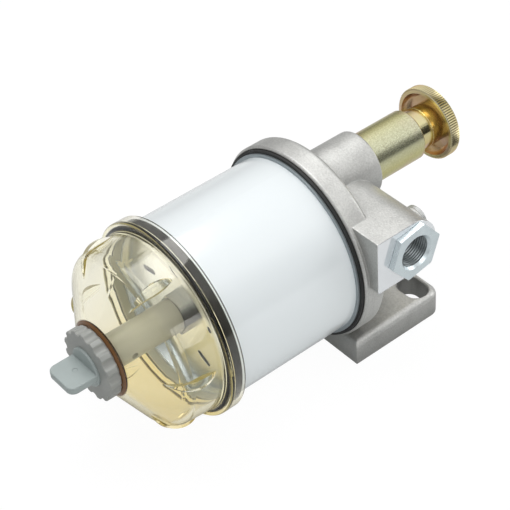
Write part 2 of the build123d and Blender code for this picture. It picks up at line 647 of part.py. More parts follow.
# Return spring between the valve plate and the piston
SPRING_LENGTH = PISTON_START - VALVE_PLATE_END
with BuildPart() as pump_spring:
    with BuildLine() as spring_path:
        Helix(
            SPRING_LENGTH / SPRING_TURNS,
            SPRING_LENGTH,
            SPRING_RADIUS,
            center=(0, FILTER_Y + VALVE_PLATE_END + SPRING_WIRE, AXIS_HEIGHT + PUMP_RISE),
            direction=(0, 1, 0),
        )
    with BuildSketch(Plane(origin=spring_path.line @ 0, z_dir=spring_path.line % 0)):
        Circle(SPRING_WIRE)
    sweep(is_frenet=True)
pump_spring.part.label = "pump_spring"
export_step(pump_spring.part, "parts/pump_spring.step")

# Canister gasket, seated on the canister's flange, with a lip round the flange's edge
with BuildPart() as filter_gasket:
    with BuildSketch(TURNING):
        band(-FLANGE_BACK, GASKET_LAND, GASKET_INNER, GASKET_OUTER)
        band(-FLANGE_BACK - GASKET_LIP, -FLANGE_BACK, FLANGE_RADIUS + GASKET_LIP_GAP, GASKET_OUTER)
    revolve(axis=CANISTER_AXIS)
filter_gasket.part.label = "filter_gasket"
export_step(filter_gasket.part, "parts/filter_gasket.step")

# Dished thread plate with its flange, inlet holes and threaded collar
with BuildPart() as thread_plate:
    with BuildSketch(TURNING):
        band(-FLANGE_FRONT, -FLANGE_BACK, PLATE_DISH_RADIUS - PLATE_WALL, FLANGE_RADIUS)
        band(-PLATE_DISH_DEPTH, -FLANGE_BACK, PLATE_DISH_RADIUS - PLATE_WALL, PLATE_DISH_RADIUS)
        band(-PLATE_DISH_DEPTH, PLATE_THICKNESS - PLATE_DISH_DEPTH, 0, PLATE_DISH_RADIUS)
        band(-PLATE_COLLAR_END, -PLATE_DISH_DEPTH, 0, PLATE_COLLAR_RADIUS)
        band(-PLATE_COLLAR_END, PLATE_THICKNESS - PLATE_DISH_DEPTH, 0, NIPPLE_RADIUS + FIT, mode=Mode.SUBTRACT)
    revolve(axis=CANISTER_AXIS)
    with BuildSketch(facing(PLATE_THICKNESS - PLATE_DISH_DEPTH)):
        with PolarLocations(PLATE_HOLE_CIRCLE, PLATE_HOLES):
            Circle(PLATE_HOLE)
    extrude(amount=PLATE_THICKNESS, mode=Mode.SUBTRACT)
thread_plate.part.label = "thread_plate"
export_step(thread_plate.part, "parts/thread_plate.step")

# Canister shell, curled inwards at the bowl end to hold the end plate
SHELL_INNER = CANISTER_RADIUS - CANISTER_WALL
with BuildPart() as canister_shell:
    with BuildSketch(TURNING):
        band(-CANISTER_END, -FLANGE_FRONT, SHELL_INNER, CANISTER_RADIUS)
        band(-CANISTER_END, CANISTER_WALL - CANISTER_END, CANISTER_RADIUS - CANISTER_CURL, CANISTER_RADIUS)
        fillet(vertices().sort_by_distance((-CANISTER_END, CANISTER_RADIUS))[0], CANISTER_WALL - FIT)
    revolve(axis=CANISTER_AXIS)
canister_shell.part.label = "canister_shell"
export_step(canister_shell.part, "parts/canister_shell.step")

# Pleated paper element: one folded strip, closed on itself
def pleat_outline(crest_radius, crest_half, valley_radius, valley_half):
    """Corners of a pleated ring: each crest and valley is a short flat of the given half width."""
    corners = []
    for fold in range(PLEATS):
        crest = 360 * fold / PLEATS
        valley = crest + 180 / PLEATS
        for radius, half, middle in (
            (crest_radius, crest_half, crest),
            (valley_radius, valley_half, valley),
        ):
            corners.append(Vector(radius, -half).rotate(Axis.Z, middle))
            corners.append(Vector(radius, half).rotate(Axis.Z, middle))
    return corners


with BuildPart() as filter_element:
    with BuildSketch(facing(-ELEMENT_TOP)):
        with BuildLine():
            Polyline(*pleat_outline(ELEMENT_OUTER, PLEAT_TIP, ELEMENT_INNER + PAPER, PLEAT_GAP), close=True)
        make_face()
        with BuildLine():
            Polyline(
                *pleat_outline(ELEMENT_OUTER - PAPER, PLEAT_TIP - PAPER, ELEMENT_INNER, PLEAT_GAP + PAPER),
                close=True,
            )
        make_face(mode=Mode.SUBTRACT)
    extrude(amount=ELEMENT_BOTTOM - ELEMENT_TOP)
filter_element.part.label = "filter_element"
export_step(filter_element.part, "parts/filter_element.step")

# Perforated centre tube inside the pleats
with BuildPart() as centre_tube:
    with BuildSketch(TURNING):
        band(-ELEMENT_BOTTOM, -ELEMENT_TOP, TUBE_RADIUS - TUBE_WALL, TUBE_RADIUS)
    revolve(axis=CANISTER_AXIS)
    row_pitch = (ELEMENT_BOTTOM - ELEMENT_TOP) / TUBE_HOLE_ROWS
    for row in range(TUBE_HOLE_ROWS):
        for column in range(TUBE_HOLE_COLUMNS):
            hole_place = (0, FILTER_Y - ELEMENT_TOP - (row + 0.5) * row_pitch, AXIS_HEIGHT)
            hole_direction = Vector(1, 0, 0).rotate(Axis.Y, 180 * column / TUBE_HOLE_COLUMNS)
            with BuildSketch(Plane(origin=hole_place, z_dir=hole_direction)):
                Circle(TUBE_HOLE)
            extrude(amount=TUBE_RADIUS, both=True, mode=Mode.SUBTRACT)
centre_tube.part.label = "centre_tube"
export_step(centre_tube.part, "parts/centre_tube.step")

# End caps bonded to the pleats: the top one is open for the nipple
with BuildPart() as top_end_cap:
    with BuildSketch(TURNING):
        band(-ELEMENT_TOP, CAP_THICKNESS - ELEMENT_TOP, GROMMET_RADIUS + FIT, CAP_RADIUS)
        band(-ELEMENT_TOP - CAP_SKIRT, -ELEMENT_TOP, CAP_RADIUS - CAP_WALL, CAP_RADIUS)
    revolve(axis=CANISTER_AXIS)
top_end_cap.part.label = "top_end_cap"
export_step(top_end_cap.part, "parts/top_end_cap.step")

with BuildPart() as bottom_end_cap:
    with BuildSketch(TURNING):
        band(-ELEMENT_BOTTOM - CAP_THICKNESS, -ELEMENT_BOTTOM, 0, CAP_RADIUS)
        band(-ELEMENT_BOTTOM, CAP_SKIRT - ELEMENT_BOTTOM, CAP_RADIUS - CAP_WALL, CAP_RADIUS)
    revolve(axis=CANISTER_AXIS)
bottom_end_cap.part.label = "bottom_end_cap"
export_step(bottom_end_cap.part, "parts/bottom_end_cap.step")

# Rubber grommet that seals the element to the nipple
with BuildPart() as nipple_grommet:
    with BuildSketch(TURNING):
        cap_top = CAP_THICKNESS - ELEMENT_TOP
        band(-ELEMENT_TOP, cap_top, NIPPLE_RADIUS + FIT, GROMMET_RADIUS)
        band(cap_top, cap_top + GROMMET_THICKNESS, NIPPLE_RADIUS + FIT, GROMMET_FLANGE)
        band(-ELEMENT_TOP - GROMMET_THICKNESS, -ELEMENT_TOP, NIPPLE_RADIUS + FIT, GROMMET_FLANGE)
    revolve(axis=CANISTER_AXIS)
nipple_grommet.part.label = "nipple_grommet"
export_step(nipple_grommet.part, "parts/nipple_grommet.step")

# End plate of pressed steel with slots that let water fall into the bowl
END_PLATE_TOP = END_PLATE_THICKNESS - END_PLATE_STATION
SHELL_LIP = CANISTER_WALL - CANISTER_END
with BuildPart() as end_plate:
    with BuildSketch(TURNING):
        band(-END_PLATE_STATION, END_PLATE_TOP, HUB_TAIL_RADIUS + FIT, SHELL_INNER - FIT)
        band(SHELL_LIP, -END_PLATE_STATION, SHELL_INNER - END_PLATE_RIM, SHELL_INNER - FIT)
    revolve(axis=CANISTER_AXIS)
    with BuildSketch(facing(-END_PLATE_STATION)):
        with PolarLocations(END_SLOT_RADIUS, END_SLOTS, start_angle=END_SLOT_FIRST):
            SlotOverall(END_SLOT_LENGTH, END_SLOT_WIDTH, rotation=END_SLOT_TILT)
    extrude(amount=-END_PLATE_THICKNESS, mode=Mode.SUBTRACT)
end_plate.part.label = "end_plate"
export_step(end_plate.part, "parts/end_plate.step")

# Hexagonal hub riveted into the end plate, threaded for the stem
with BuildPart() as stem_hub:
    with BuildSketch(facing(-END_PLATE_STATION)):
        RegularPolygon(HUB_ACROSS_FLATS / 2, 6, major_radius=False)
    extrude(amount=HUB_END - END_PLATE_STATION)
    with BuildSketch(facing(-END_PLATE_STATION)):
        Circle(HUB_TAIL_RADIUS)
    extrude(amount=-HUB_TAIL_LENGTH)
    with BuildSketch(facing(-HUB_END)):
        Circle(STEM_THREAD + FIT)
    extrude(amount=END_PLATE_STATION - HUB_END - HUB_TAIL_LENGTH, mode=Mode.SUBTRACT)
stem_hub.part.label = "stem_hub"
export_step(stem_hub.part, "parts/stem_hub.step")

# Spring that holds the element against the thread plate's grommet
COIL_START = ELEMENT_BOTTOM + CAP_THICKNESS + ELEMENT_SPRING_WIRE
COIL_TRAVEL = -END_PLATE_TOP - ELEMENT_SPRING_WIRE - COIL_START
with BuildPart() as element_spring:
    with BuildLine() as coil_path:
        Helix(
            COIL_TRAVEL / ELEMENT_SPRING_TURNS,
            COIL_TRAVEL,
            ELEMENT_SPRING_RADIUS,
            center=(0, FILTER_Y - COIL_START, AXIS_HEIGHT),
            direction=(0, -1, 0),
        )
    with BuildSketch(Plane(origin=coil_path.line @ 0, z_dir=coil_path.line % 0)):
        Circle(ELEMENT_SPRING_WIRE)
    sweep(is_frenet=True)
element_spring.part.label = "element_spring"
export_step(element_spring.part, "parts/element_spring.step")

# Bowl seal between the canister's curled end and the bowl's ledge
with BuildPart() as bowl_seal:
    with BuildSketch(TURNING):
        band(-BOWL_LEDGE, -CANISTER_END, BOWL_GASKET_INNER, BOWL_GASKET_OUTER)
    revolve(axis=CANISTER_AXIS)
bowl_seal.part.label = "bowl_seal"
export_step(bowl_seal.part, "parts/bowl_seal.step")

# Grip rib of the bowl: a blade with a curved crest, pointed at both ends
shoulder = Vector(-BOWL_SHOULDER, BOWL_SHOULDER_RADIUS)
cone_run = Vector(-BOWL_END, BOWL_END_RADIUS) - shoulder
cone_slope = cone_run.Y / cone_run.X
rib_foot = BOWL_SHOULDER_RADIUS - BOWL_WALL
with BuildPart() as grip_rib:
    with BuildSketch(TURNING):
        with BuildLine():
            rib_crest = ThreePointArc(
                (-RIB_START, BOWL_THROAT - BOWL_WALL / 2),
                (-RIB_CREST, BOWL_SHOULDER_RADIUS + RIB_RISE),
                (-RIB_END, BOWL_SHOULDER_RADIUS - (RIB_END - BOWL_SHOULDER) * cone_slope - BOWL_WALL / 2),
            )
            Polyline(rib_crest @ 1, (-BOWL_SHOULDER, rib_foot), rib_crest @ 0)
        make_face()
    extrude(amount=RIB_WIDTH, both=True)
    with BuildSketch(Plane.XY.offset(AXIS_HEIGHT)):
        with BuildLine():
            rib_side = ThreePointArc(
                (0, FILTER_Y - RIB_START),
                (RIB_WIDTH / 2, FILTER_Y - (RIB_START + RIB_END) / 2),
                (0, FILTER_Y - RIB_END),
            )
            mirror(rib_side, about=Plane.YZ)
        make_face()
    extrude(amount=BOWL_RADIUS, mode=Mode.INTERSECT)

# Bowl: moulded rim, tapered wall and conical bottom of even thickness, with grip ribs
cone_inward = cone_run.rotate(Axis.Z, 90).normalized() * BOWL_WALL
inner_cone = cone_inward + shoulder
floor_station = BOWL_FLOOR - BOWL_END
wall_inner = BOWL_SHOULDER_RADIUS - BOWL_WALL
floor_radius = inner_cone.Y + (floor_station - inner_cone.X) * cone_slope
corner_station = inner_cone.X + (wall_inner - inner_cone.Y) / cone_slope
with BuildPart() as bowl:
    with BuildSketch(TURNING):
        with BuildLine():
            Polyline(
                (-BOWL_RIM_START, BOWL_SOCKET_RADIUS),
                (-BOWL_RIM_START, BOWL_RADIUS),
                (-BOWL_RIM_END, BOWL_RADIUS),
                (-BOWL_RIM_END, BOWL_THROAT),
                (-BOWL_SHOULDER, BOWL_SHOULDER_RADIUS),
                (-BOWL_END, BOWL_END_RADIUS),
                (-BOWL_END, STEM_RADIUS + FIT),
                (floor_station, STEM_RADIUS + FIT),
                (floor_station, floor_radius),
                (corner_station, wall_inner),
                (-BOWL_LEDGE, BOWL_THROAT - BOWL_WALL),
                (-BOWL_LEDGE, BOWL_SOCKET_RADIUS),
                close=True,
            )
        make_face()
        fillet(vertices().sort_by_distance((-BOWL_SHOULDER, BOWL_SHOULDER_RADIUS))[0], BOWL_ROUND)
        fillet(vertices().sort_by_distance((corner_station, wall_inner))[0], BOWL_ROUND - BOWL_WALL)
        fillet(vertices().sort_by_distance((-BOWL_RIM_END, BOWL_THROAT))[0], BOWL_NECK_ROUND)
        fillet(vertices().sort_by_distance((-BOWL_RIM_END, BOWL_RADIUS))[0], BOWL_RIM_ROUND)
        fillet(vertices().sort_by_distance((-BOWL_END, BOWL_END_RADIUS))[0], BOWL_FOOT_ROUND)
    revolve(axis=CANISTER_AXIS)
    for rib in range(RIBS):
        add(grip_rib.part.rotate(CANISTER_AXIS, 90 - RIB_FIRST - 360 * rib / RIBS))
    with BuildSketch(facing(-BOWL_END)):
        Circle(NUT_SEAL_OUTER + FIT)
    extrude(amount=-NUT_SEAL_THICKNESS, mode=Mode.SUBTRACT)
bowl.part.label = "bowl"
export_step(bowl.part, "parts/bowl.step")

# Flat seal between the hand nut and the bowl
with BuildPart() as nut_gasket:
    with BuildSketch(TURNING):
        band(-BOWL_END, NUT_SEAL_THICKNESS - BOWL_END, NUT_SEAL_INNER, NUT_SEAL_OUTER)
    revolve(axis=CANISTER_AXIS)
nut_gasket.part.label = "nut_gasket"
export_step(nut_gasket.part, "parts/nut_gasket.step")

# Hollow stem that screws into the hub: water enters its side hole and leaves at the drain
with BuildPart() as bowl_stem:
    with BuildSketch(TURNING):
        band(-STEM_END, -HUB_END, 0, STEM_RADIUS)
        band(-HUB_END, STEM_THREAD_LENGTH - HUB_END, 0, STEM_THREAD)
        band(-STEM_END, STEM_THREAD_LENGTH - HUB_END, 0, STEM_THREAD_BORE, mode=Mode.SUBTRACT)
        band(-STEM_END, -STEM_WELL_END, 0, STEM_BORE, mode=Mode.SUBTRACT)
    revolve(axis=CANISTER_AXIS)
    hole_plane = Plane(
        origin=(0, FILTER_Y - STEM_HOLE_STATION, AXIS_HEIGHT),
        z_dir=Vector(1, 0, 0).rotate(Axis.Y, -STEM_HOLE_ANGLE),
    )
    with BuildSketch(hole_plane):
        Circle(STEM_HOLE)
    extrude(amount=2 * STEM_RADIUS, mode=Mode.SUBTRACT)
bowl_stem.part.label = "bowl_stem"
export_step(bowl_stem.part, "parts/bowl_stem.step")

# Hand nut with wave-like lobes, fast on the stem
with BuildPart() as collar_nut:
    with BuildSketch(facing(-BOWL_END)):
        Circle(NUT_CREST)
        with PolarLocations(
            NUT_CREST + NUT_GROOVE_RADIUS - NUT_GROOVE_DEPTH, NUT_LOBES, start_angle=NUT_FIRST_GROOVE
        ):
            Circle(NUT_GROOVE_RADIUS, mode=Mode.SUBTRACT)
        fillet(vertices(), NUT_LOBE_ROUND)
    extrude(amount=NUT_END - BOWL_END)
    chamfer(edges().group_by(Axis.Y)[0], NUT_EDGE)
    with BuildSketch(TURNING):
        band(-NUT_END, -BOWL_END, 0, NUT_CREST)
        chamfer(vertices().sort_by_distance((-BOWL_END, NUT_CREST))[0], NUT_BACK_EDGE)
    revolve(axis=CANISTER_AXIS, mode=Mode.INTERSECT)
    with BuildSketch(facing(-BOWL_END)):
        Circle(STEM_RADIUS + FIT)
    extrude(amount=NUT_END - BOWL_END, mode=Mode.SUBTRACT)
collar_nut.part.label = "collar_nut"
export_step(collar_nut.part, "parts/collar_nut.step")

# Drain valve: shank with a seal groove, round flange and a flat paddle to turn it by
SHANK_RADIUS = STEM_BORE - FIT
FLANGE_END = NUT_END + DRAIN_FLANGE_THICKNESS
SHANK_END = NUT_END - DRAIN_SHANK_LENGTH
with BuildPart() as paddle:
    with BuildSketch(Plane.XY.offset(AXIS_HEIGHT - PADDLE_THICKNESS / 2)):
        with Locations((0, FILTER_Y - (PADDLE_START + PADDLE_END) / 2)):
            Rectangle(2 * PADDLE_HALF_WIDTH, PADDLE_END - PADDLE_START)
        fillet(vertices().group_by(Axis.Y)[0], PADDLE_CORNER)
    extrude(amount=PADDLE_THICKNESS)
    fillet(edges().group_by(Axis.Z)[0] + edges().group_by(Axis.Z)[-1], PADDLE_EDGE_ROUND)
    with BuildSketch(Plane.XY.offset(AXIS_HEIGHT + PADDLE_THICKNESS / 2)):
        with Locations((0, FILTER_Y - PADDLE_MARK)):
            Circle(PADDLE_MARK_RADIUS)
    extrude(amount=-PADDLE_MARK_DEPTH, mode=Mode.SUBTRACT)

with BuildPart() as drain_valve:
    with BuildSketch(TURNING):
        band(-NUT_END, -SHANK_END, 0, SHANK_RADIUS)
        band(-SHANK_END, DRAIN_TIP_LENGTH - SHANK_END, 0, DRAIN_TIP_RADIUS)
        band(-FLANGE_END, -NUT_END, 0, DRAIN_FLANGE_RADIUS)
        band(
            -DRAIN_SEAL_START - DRAIN_SEAL_WIDTH,
            -DRAIN_SEAL_START,
            SHANK_RADIUS - DRAIN_SEAL_DEPTH,
            SHANK_RADIUS,
            mode=Mode.SUBTRACT,
        )
    revolve(axis=CANISTER_AXIS)
    fillet(edges().group_by(Axis.Y)[0], DRAIN_FLANGE_THICKNESS / 2)
    add(paddle.part)
drain_valve.part.label = "drain_valve"
export_step(drain_valve.part, "parts/drain_valve.step")

# Seal ring in the drain valve's groove
with BuildPart() as drain_seal:
    with BuildSketch(TURNING):
        band(
            -DRAIN_SEAL_START - DRAIN_SEAL_WIDTH,
            -DRAIN_SEAL_START,
            SHANK_RADIUS - DRAIN_SEAL_DEPTH + FIT,
            SHANK_RADIUS,
        )
        fillet(vertices().group_by(Axis.Y)[-1], SEAL_ROUND)
    revolve(axis=CANISTER_AXIS)
drain_seal.part.label = "drain_seal"
export_step(drain_seal.part, "parts/drain_seal.step")
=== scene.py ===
"""Looks of a fuel water separator: a cast head with a priming pump, a canister and a clear bowl."""

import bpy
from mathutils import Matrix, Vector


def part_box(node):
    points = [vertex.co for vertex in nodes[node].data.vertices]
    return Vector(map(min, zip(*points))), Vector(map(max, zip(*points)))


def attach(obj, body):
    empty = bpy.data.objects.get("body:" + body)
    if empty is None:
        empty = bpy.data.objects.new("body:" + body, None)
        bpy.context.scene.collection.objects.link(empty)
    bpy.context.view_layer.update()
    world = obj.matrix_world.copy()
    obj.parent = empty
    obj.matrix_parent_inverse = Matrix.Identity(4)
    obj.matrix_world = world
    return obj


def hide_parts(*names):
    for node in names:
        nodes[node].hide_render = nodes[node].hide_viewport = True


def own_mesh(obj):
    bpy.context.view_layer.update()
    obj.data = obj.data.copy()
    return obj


bl_info = {
    "name": "Fuel Water Separator",
    "version": (1, 0, 0),
    "blender": (4, 5, 0),
    "location": "View3D > Sidebar > Separator",
    "description": "Finishes a fuel water separator: casting, pump, canister, bowl and stage",
    "category": "Object",
}

import math

import bmesh
import bpy
from mathutils import Matrix, Vector

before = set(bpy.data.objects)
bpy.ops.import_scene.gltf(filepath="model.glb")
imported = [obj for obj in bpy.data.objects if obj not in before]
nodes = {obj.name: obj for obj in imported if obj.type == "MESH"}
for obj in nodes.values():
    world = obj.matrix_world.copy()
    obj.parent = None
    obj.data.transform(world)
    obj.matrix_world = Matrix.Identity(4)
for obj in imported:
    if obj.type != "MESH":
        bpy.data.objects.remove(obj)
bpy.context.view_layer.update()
MM = 0.001


def box_middle(node):
    """The middle of a node's box."""
    low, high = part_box(node)
    return (Vector(low) + Vector(high)) / 2


def box_radius(node):
    """Half the width of a node's box: the radius of a round piece whose axis runs along Y."""
    low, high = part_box(node)
    return (high[0] - low[0]) / 2


# Where the frame puts the canister's axis and the pump's axis, which both run along Y
CANISTER_AXIS = box_middle("canister_shell")
PUMP_AXIS = box_middle("pump_barrel")

# Radius that softens an edge in a finish, unless the piece has its own
SOFT_EDGE = 0.3 * MM
# Where most of a noise texture's values lie
NOISE_SPAN = (0.3, 0.7)

# Finishes that need no more than a colour, a metallic and a roughness
PLAIN_FINISHES = {
    "black_rubber": ((0.035, 0.036, 0.034), 0, 0.55),
    "brown_rubber": ((0.20, 0.09, 0.03), 0, 0.5),
    "dull_zinc": ((0.55, 0.56, 0.55), 1, 0.42),
    "filter_paper": ((0.72, 0.52, 0.28), 0, 0.8),
    "gasket_rubber": ((0.009, 0.009, 0.009), 0, 0.55),
    "machined_brass": ((0.72, 0.55, 0.26), 1, 0.3),
    "plated_sheet": ((0.84, 0.84, 0.80), 1, 0.26),
    "seam_steel": ((0.33, 0.37, 0.39), 0.5, 0.35),
    "spring_wire": ((0.38, 0.38, 0.39), 1, 0.35),
    "thread_in_shadow": ((0.30, 0.33, 0.34), 1, 0.35),
}


def length_field(name, description, default, least):
    """A length property, from its default and its least value in millimetres."""
    return bpy.props.FloatProperty(
        name=name, description=description, default=default * MM, min=least * MM, unit="LENGTH",
    )


def colour_field(name, description, default):
    """A colour property."""
    return bpy.props.FloatVectorProperty(
        name=name, description=description, default=default, subtype="COLOR", min=0, max=1,
    )


class SeparatorSizes(bpy.types.PropertyGroup):
    """Sizes of the pieces that are modelled here"""

    thread_pitch: length_field(
        "Port thread pitch", "Pitch of the thread in the port fittings", 1.5, 0.5,
    )
    thread_depth: length_field(
        "Port thread depth", "Depth of the port thread below its crests", 0.8, 0.1,
    )
    port_bore: length_field(
        "Port bore", "Radius at the crests of the port thread", 9.2, 2,
    )
    port_mouth: length_field(
        "Port mouth", "Radius of the chamfered mouth of a port", 10.7, 2,
    )
    hex_flats: length_field(
        "Hexagon", "Width across the flats of a port fitting", 30, 5,
    )
    hex_turn: bpy.props.FloatProperty(
        name="Hexagon turn", description="How far the hexagons are turned about their axis",
        default=math.radians(9.9), subtype="ANGLE",
    )
    spigot_radius: length_field(
        "Fitting spigot", "Radius of the part of a fitting inside the casting", 12, 2,
    )
    spigot_depth: length_field(
        "Spigot depth", "How far a fitting reaches into the casting", 13, 1,
    )
    seal_width: length_field(
        "Bowl seal width", "Width of the bowl's seal between its inner and outer edge", 5.1, 0.5,
    )
    seal_gap: length_field(
        "Bowl seal gap", "Air between the bowl's seal and the bowl's rim", 0.5, 0,
    )
    seal_round: length_field(
        "Bowl seal rounding", "Radius of the seal's edges", 0.7, 0.05,
    )
    spring_wire: length_field(
        "Spring wire", "Radius of the wire of the pump's return spring", 0.6, 0.1,
    )
    spring_turns: bpy.props.IntProperty(
        name="Spring turns", description="Number of turns of the pump's return spring",
        default=7, min=2,
    )
    pump_stroke: length_field(
        "Pump stroke", "How far the return spring is pressed together", 17.2, 1,
    )
    knurl_ridges: bpy.props.IntProperty(
        name="Knurl ridges", description="Number of straight ridges round the knob",
        default=96, min=12,
    )
    knurl_depth: length_field(
        "Knurl depth", "Depth of the grooves between the knob's ridges", 0.5, 0,
    )


class SeparatorColours(bpy.types.PropertyGroup):
    """Colours of the finishes"""

    casting: colour_field("Casting", "Blasted aluminium of the head", (0.57, 0.57, 0.55))
    machined: colour_field("Machined face", "Cut faces of the casting", (0.90, 0.92, 0.94))
    zinc: colour_field("Zinc plate", "Bluish plate of the port fittings", (0.70, 0.775, 0.80))
    yellow_zinc: colour_field(
        "Yellow zinc", "Greenish yellow of the pump's barrel", (0.62, 0.58, 0.28),
    )
    pink_zinc: colour_field("Pink zinc", "Pink bands in the pump's plating", (0.68, 0.46, 0.32))
    gold_zinc: colour_field("Gold zinc", "Deeper gold of the pump's plunger", (0.70, 0.60, 0.23))
    knob_zinc: colour_field("Knob zinc", "Plating of the knurled knob", (0.67, 0.56, 0.24))
    dish_zinc: colour_field("Dish zinc", "Redder plating in the knob's dish", (0.53, 0.35, 0.14))
    enamel: colour_field("Enamel", "White enamel of the canister", (0.865, 0.915, 0.93))
    amber: colour_field("Amber", "What a thick wall of the bowl lets through", (0.94, 0.88, 0.42))
    cream: colour_field("Cream plastic", "Plastic of the stem", (0.62, 0.61, 0.50))
    grey: colour_field("Grey plastic", "Plastic of the hand nut", (0.37, 0.38, 0.36))
    blue_grey: colour_field(
        "Blue-grey plastic", "Plastic of the drain valve", (0.40, 0.455, 0.445),
    )


def add_node(tree, kind, inputs=None, **settings):
    """Adds a shader node, with its settings and with values or links on its inputs."""
    node = tree.nodes.new(kind)
    for name, value in settings.items():
        setattr(node, name, value)
    feed(tree, node, inputs or {})
    return node


def feed(tree, node, inputs):
    """Puts values or links on a node's inputs."""
    for name, value in inputs.items():
        socket = node.inputs[name]
        if isinstance(value, bpy.types.NodeSocket):
            tree.links.new(value, socket)
        else:
            socket.default_value = value


def maths(tree, operation, *values):
    """The result of a math node."""
    return add_node(tree, "ShaderNodeMath", dict(enumerate(values)), operation=operation).outputs[0]


def vector_maths(tree, operation, *vectors):
    """The result of a vector math node, which is a number for a length or a distance."""
    node = add_node(
        tree, "ShaderNodeVectorMath", dict(enumerate(vectors)), operation=operation,
    )
    return node.outputs["Value" if operation in ("LENGTH", "DISTANCE") else "Vector"]


def split(tree, vector):
    """The X, Y and Z of a vector."""
    return add_node(tree, "ShaderNodeSeparateXYZ", {"Vector": vector}).outputs


def place(tree):
    """The point's place in the frame, in metres."""
    return tree.nodes.new("ShaderNodeTexCoord").outputs["Object"]


def away_from(tree, axis):
    """The point's offset from an axis that runs along Y."""
    offset = vector_maths(tree, "SUBTRACT", place(tree), axis)
    return vector_maths(tree, "MULTIPLY", offset, (1, 0, 1))


def noise(tree, scale, detail=3, roughness=0.5):
    """A noise texture over the piece, with a scale per metre."""
    return add_node(
        tree, "ShaderNodeTexNoise",
        {"Vector": place(tree), "Scale": scale, "Detail": detail, "Roughness": roughness},
    ).outputs["Fac"]


def map_range(tree, value, span, target=(0, 1)):
    """A value moved from one span to another."""
    return add_node(
        tree, "ShaderNodeMapRange",
        {
            "Value": value, "From Min": span[0], "From Max": span[1],
            "To Min": target[0], "To Max": target[1],
        },
    ).outputs["Result"]


def ramp(tree, factor, stops):
    """A colour ramp with the given positions and colours."""
    node = add_node(tree, "ShaderNodeValToRGB", {"Fac": factor})
    elements = node.color_ramp.elements
    while len(elements) < len(stops):
        elements.new(0.5)
    for element, (position, colour) in zip(elements, stops):
        element.position = position
        element.color = (*colour, 1)
    return node.outputs["Color"]


def grey_ramp(tree, factor, stops):
    """A ramp of greys with the given positions and shades."""
    return ramp(tree, factor, [(position, (shade,) * 3) for position, shade in stops])


def mix_colour(tree, factor, first, second):
    """A mix of two colours. Its sockets have numbers, because their names repeat."""
    return add_node(
        tree, "ShaderNodeMix", {0: factor, 6: first, 7: second}, data_type="RGBA",
    ).outputs[2]


def mix_shader(tree, factor, first, second):
    """A mix of two shaders."""
    return add_node(tree, "ShaderNodeMixShader", {0: factor, 1: first, 2: second}).outputs[0]


def tint(colour, share):
    """A colour made lighter or darker by a share."""
    return tuple(min(channel * share, 1) for channel in colour)


def cloudy(tree, colour, scale, darkest, lightest, detail=3):
    """A colour that drifts between a darker and a lighter tint of itself."""
    low, high = NOISE_SPAN
    stops = [(low, tint(colour, darkest)), (high, tint(colour, lightest))]
    return ramp(tree, noise(tree, scale, detail), stops)


def new_finish(name, colour, metallic, roughness):
    """A material with its colour, metallic and roughness on the shader's own sockets."""
    material = bpy.data.materials.new(name)
    material.use_nodes = True
    tree = material.node_tree
    shader = tree.nodes["Principled BSDF"]
    feed(tree, shader, {"Base Color": (*colour, 1), "Metallic": metallic, "Roughness": roughness})
    material.diffuse_color = (*colour, 1)
    return material, tree, shader


def grain(tree, shader, height, depth, edge=SOFT_EDGE, samples=6):
    """Fine surface grain, over edges that are softened by the given radius."""
    inputs = {"Height": height, "Distance": depth, "Strength": 1}
    if edge:
        soft = add_node(tree, "ShaderNodeBevel", {"Radius": edge}, samples=samples)
        inputs["Normal"] = soft.outputs["Normal"]
    bump = add_node(tree, "ShaderNodeBump", inputs)
    feed(tree, shader, {"Normal": bump.outputs["Normal"]})


def casting_finish(colours):
    """Blasted aluminium with painted shade in its hollows, with the cut port faces bright."""
    # Each pair is for the blasted skin and for a cut face
    metallic = (0.85, 0.7)
    roughness = (0.46, 0.07)
    grain_depth = (0.16 * MM, 0)
    material, tree, shader = new_finish(
        "blasted_aluminium", colours.casting, metallic[0], roughness[0],
    )
    clouds = noise(tree, 60, detail=4)
    specks = noise(tree, 1000, detail=2, roughness=0.6)
    skin = ramp(
        tree, map_range(tree, maths(tree, "ADD", clouds, specks), (0.6, 1.4)),
        [(0.2, tint(colours.casting, 0.84)), (0.8, tint(colours.casting, 1.12))],
    )
    # How open the surface is around a point, as far as a hollow of this size
    hollow_size = 30 * MM
    open_share = add_node(
        tree, "ShaderNodeAmbientOcclusion", {"Distance": hollow_size}, samples=8,
    ).outputs["AO"]
    # Painted shade: the skin darkens where the surface is closed in
    painted_hollow_shade = map_range(tree, open_share, (0.5, 0.95), (0.45, 0))
    shaded_skin = mix_colour(tree, painted_hollow_shade, skin, (*tint(colours.casting, 0.3), 1))
    # The cut faces are the farthest ones along X, and the finish changes just short of them
    reach = maths(tree, "ABSOLUTE", split(tree, place(tree))["X"])
    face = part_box("head_casting")[1][0]
    cut = map_range(tree, reach, (face - 0.12 * MM, face - 0.06 * MM))
    feed(tree, shader, {
        "Base Color": mix_colour(tree, cut, shaded_skin, (*colours.machined, 1)),
        "Metallic": map_range(tree, cut, (0, 1), metallic),
        "Roughness": map_range(tree, cut, (0, 1), roughness),
    })
    pits = noise(tree, 750, roughness=0.65)
    depth = map_range(tree, cut, (0, 1), grain_depth)
    grain(tree, shader, pits, depth, edge=1.2 * MM, samples=8)
    return material


def zinc_finish(colours):
    """Bluish zinc plate."""
    material, tree, shader = new_finish("bluish_zinc_plate", colours.zinc, 0.88, 0.32)
    feed(tree, shader, {
        "Base Color": cloudy(tree, colours.zinc, 90, 0.93, 1.06),
        "Roughness": map_range(tree, noise(tree, 400), NOISE_SPAN, (0.26, 0.40)),
    })
    grain(tree, shader, noise(tree, 900, detail=2), 0.01 * MM)
    return material


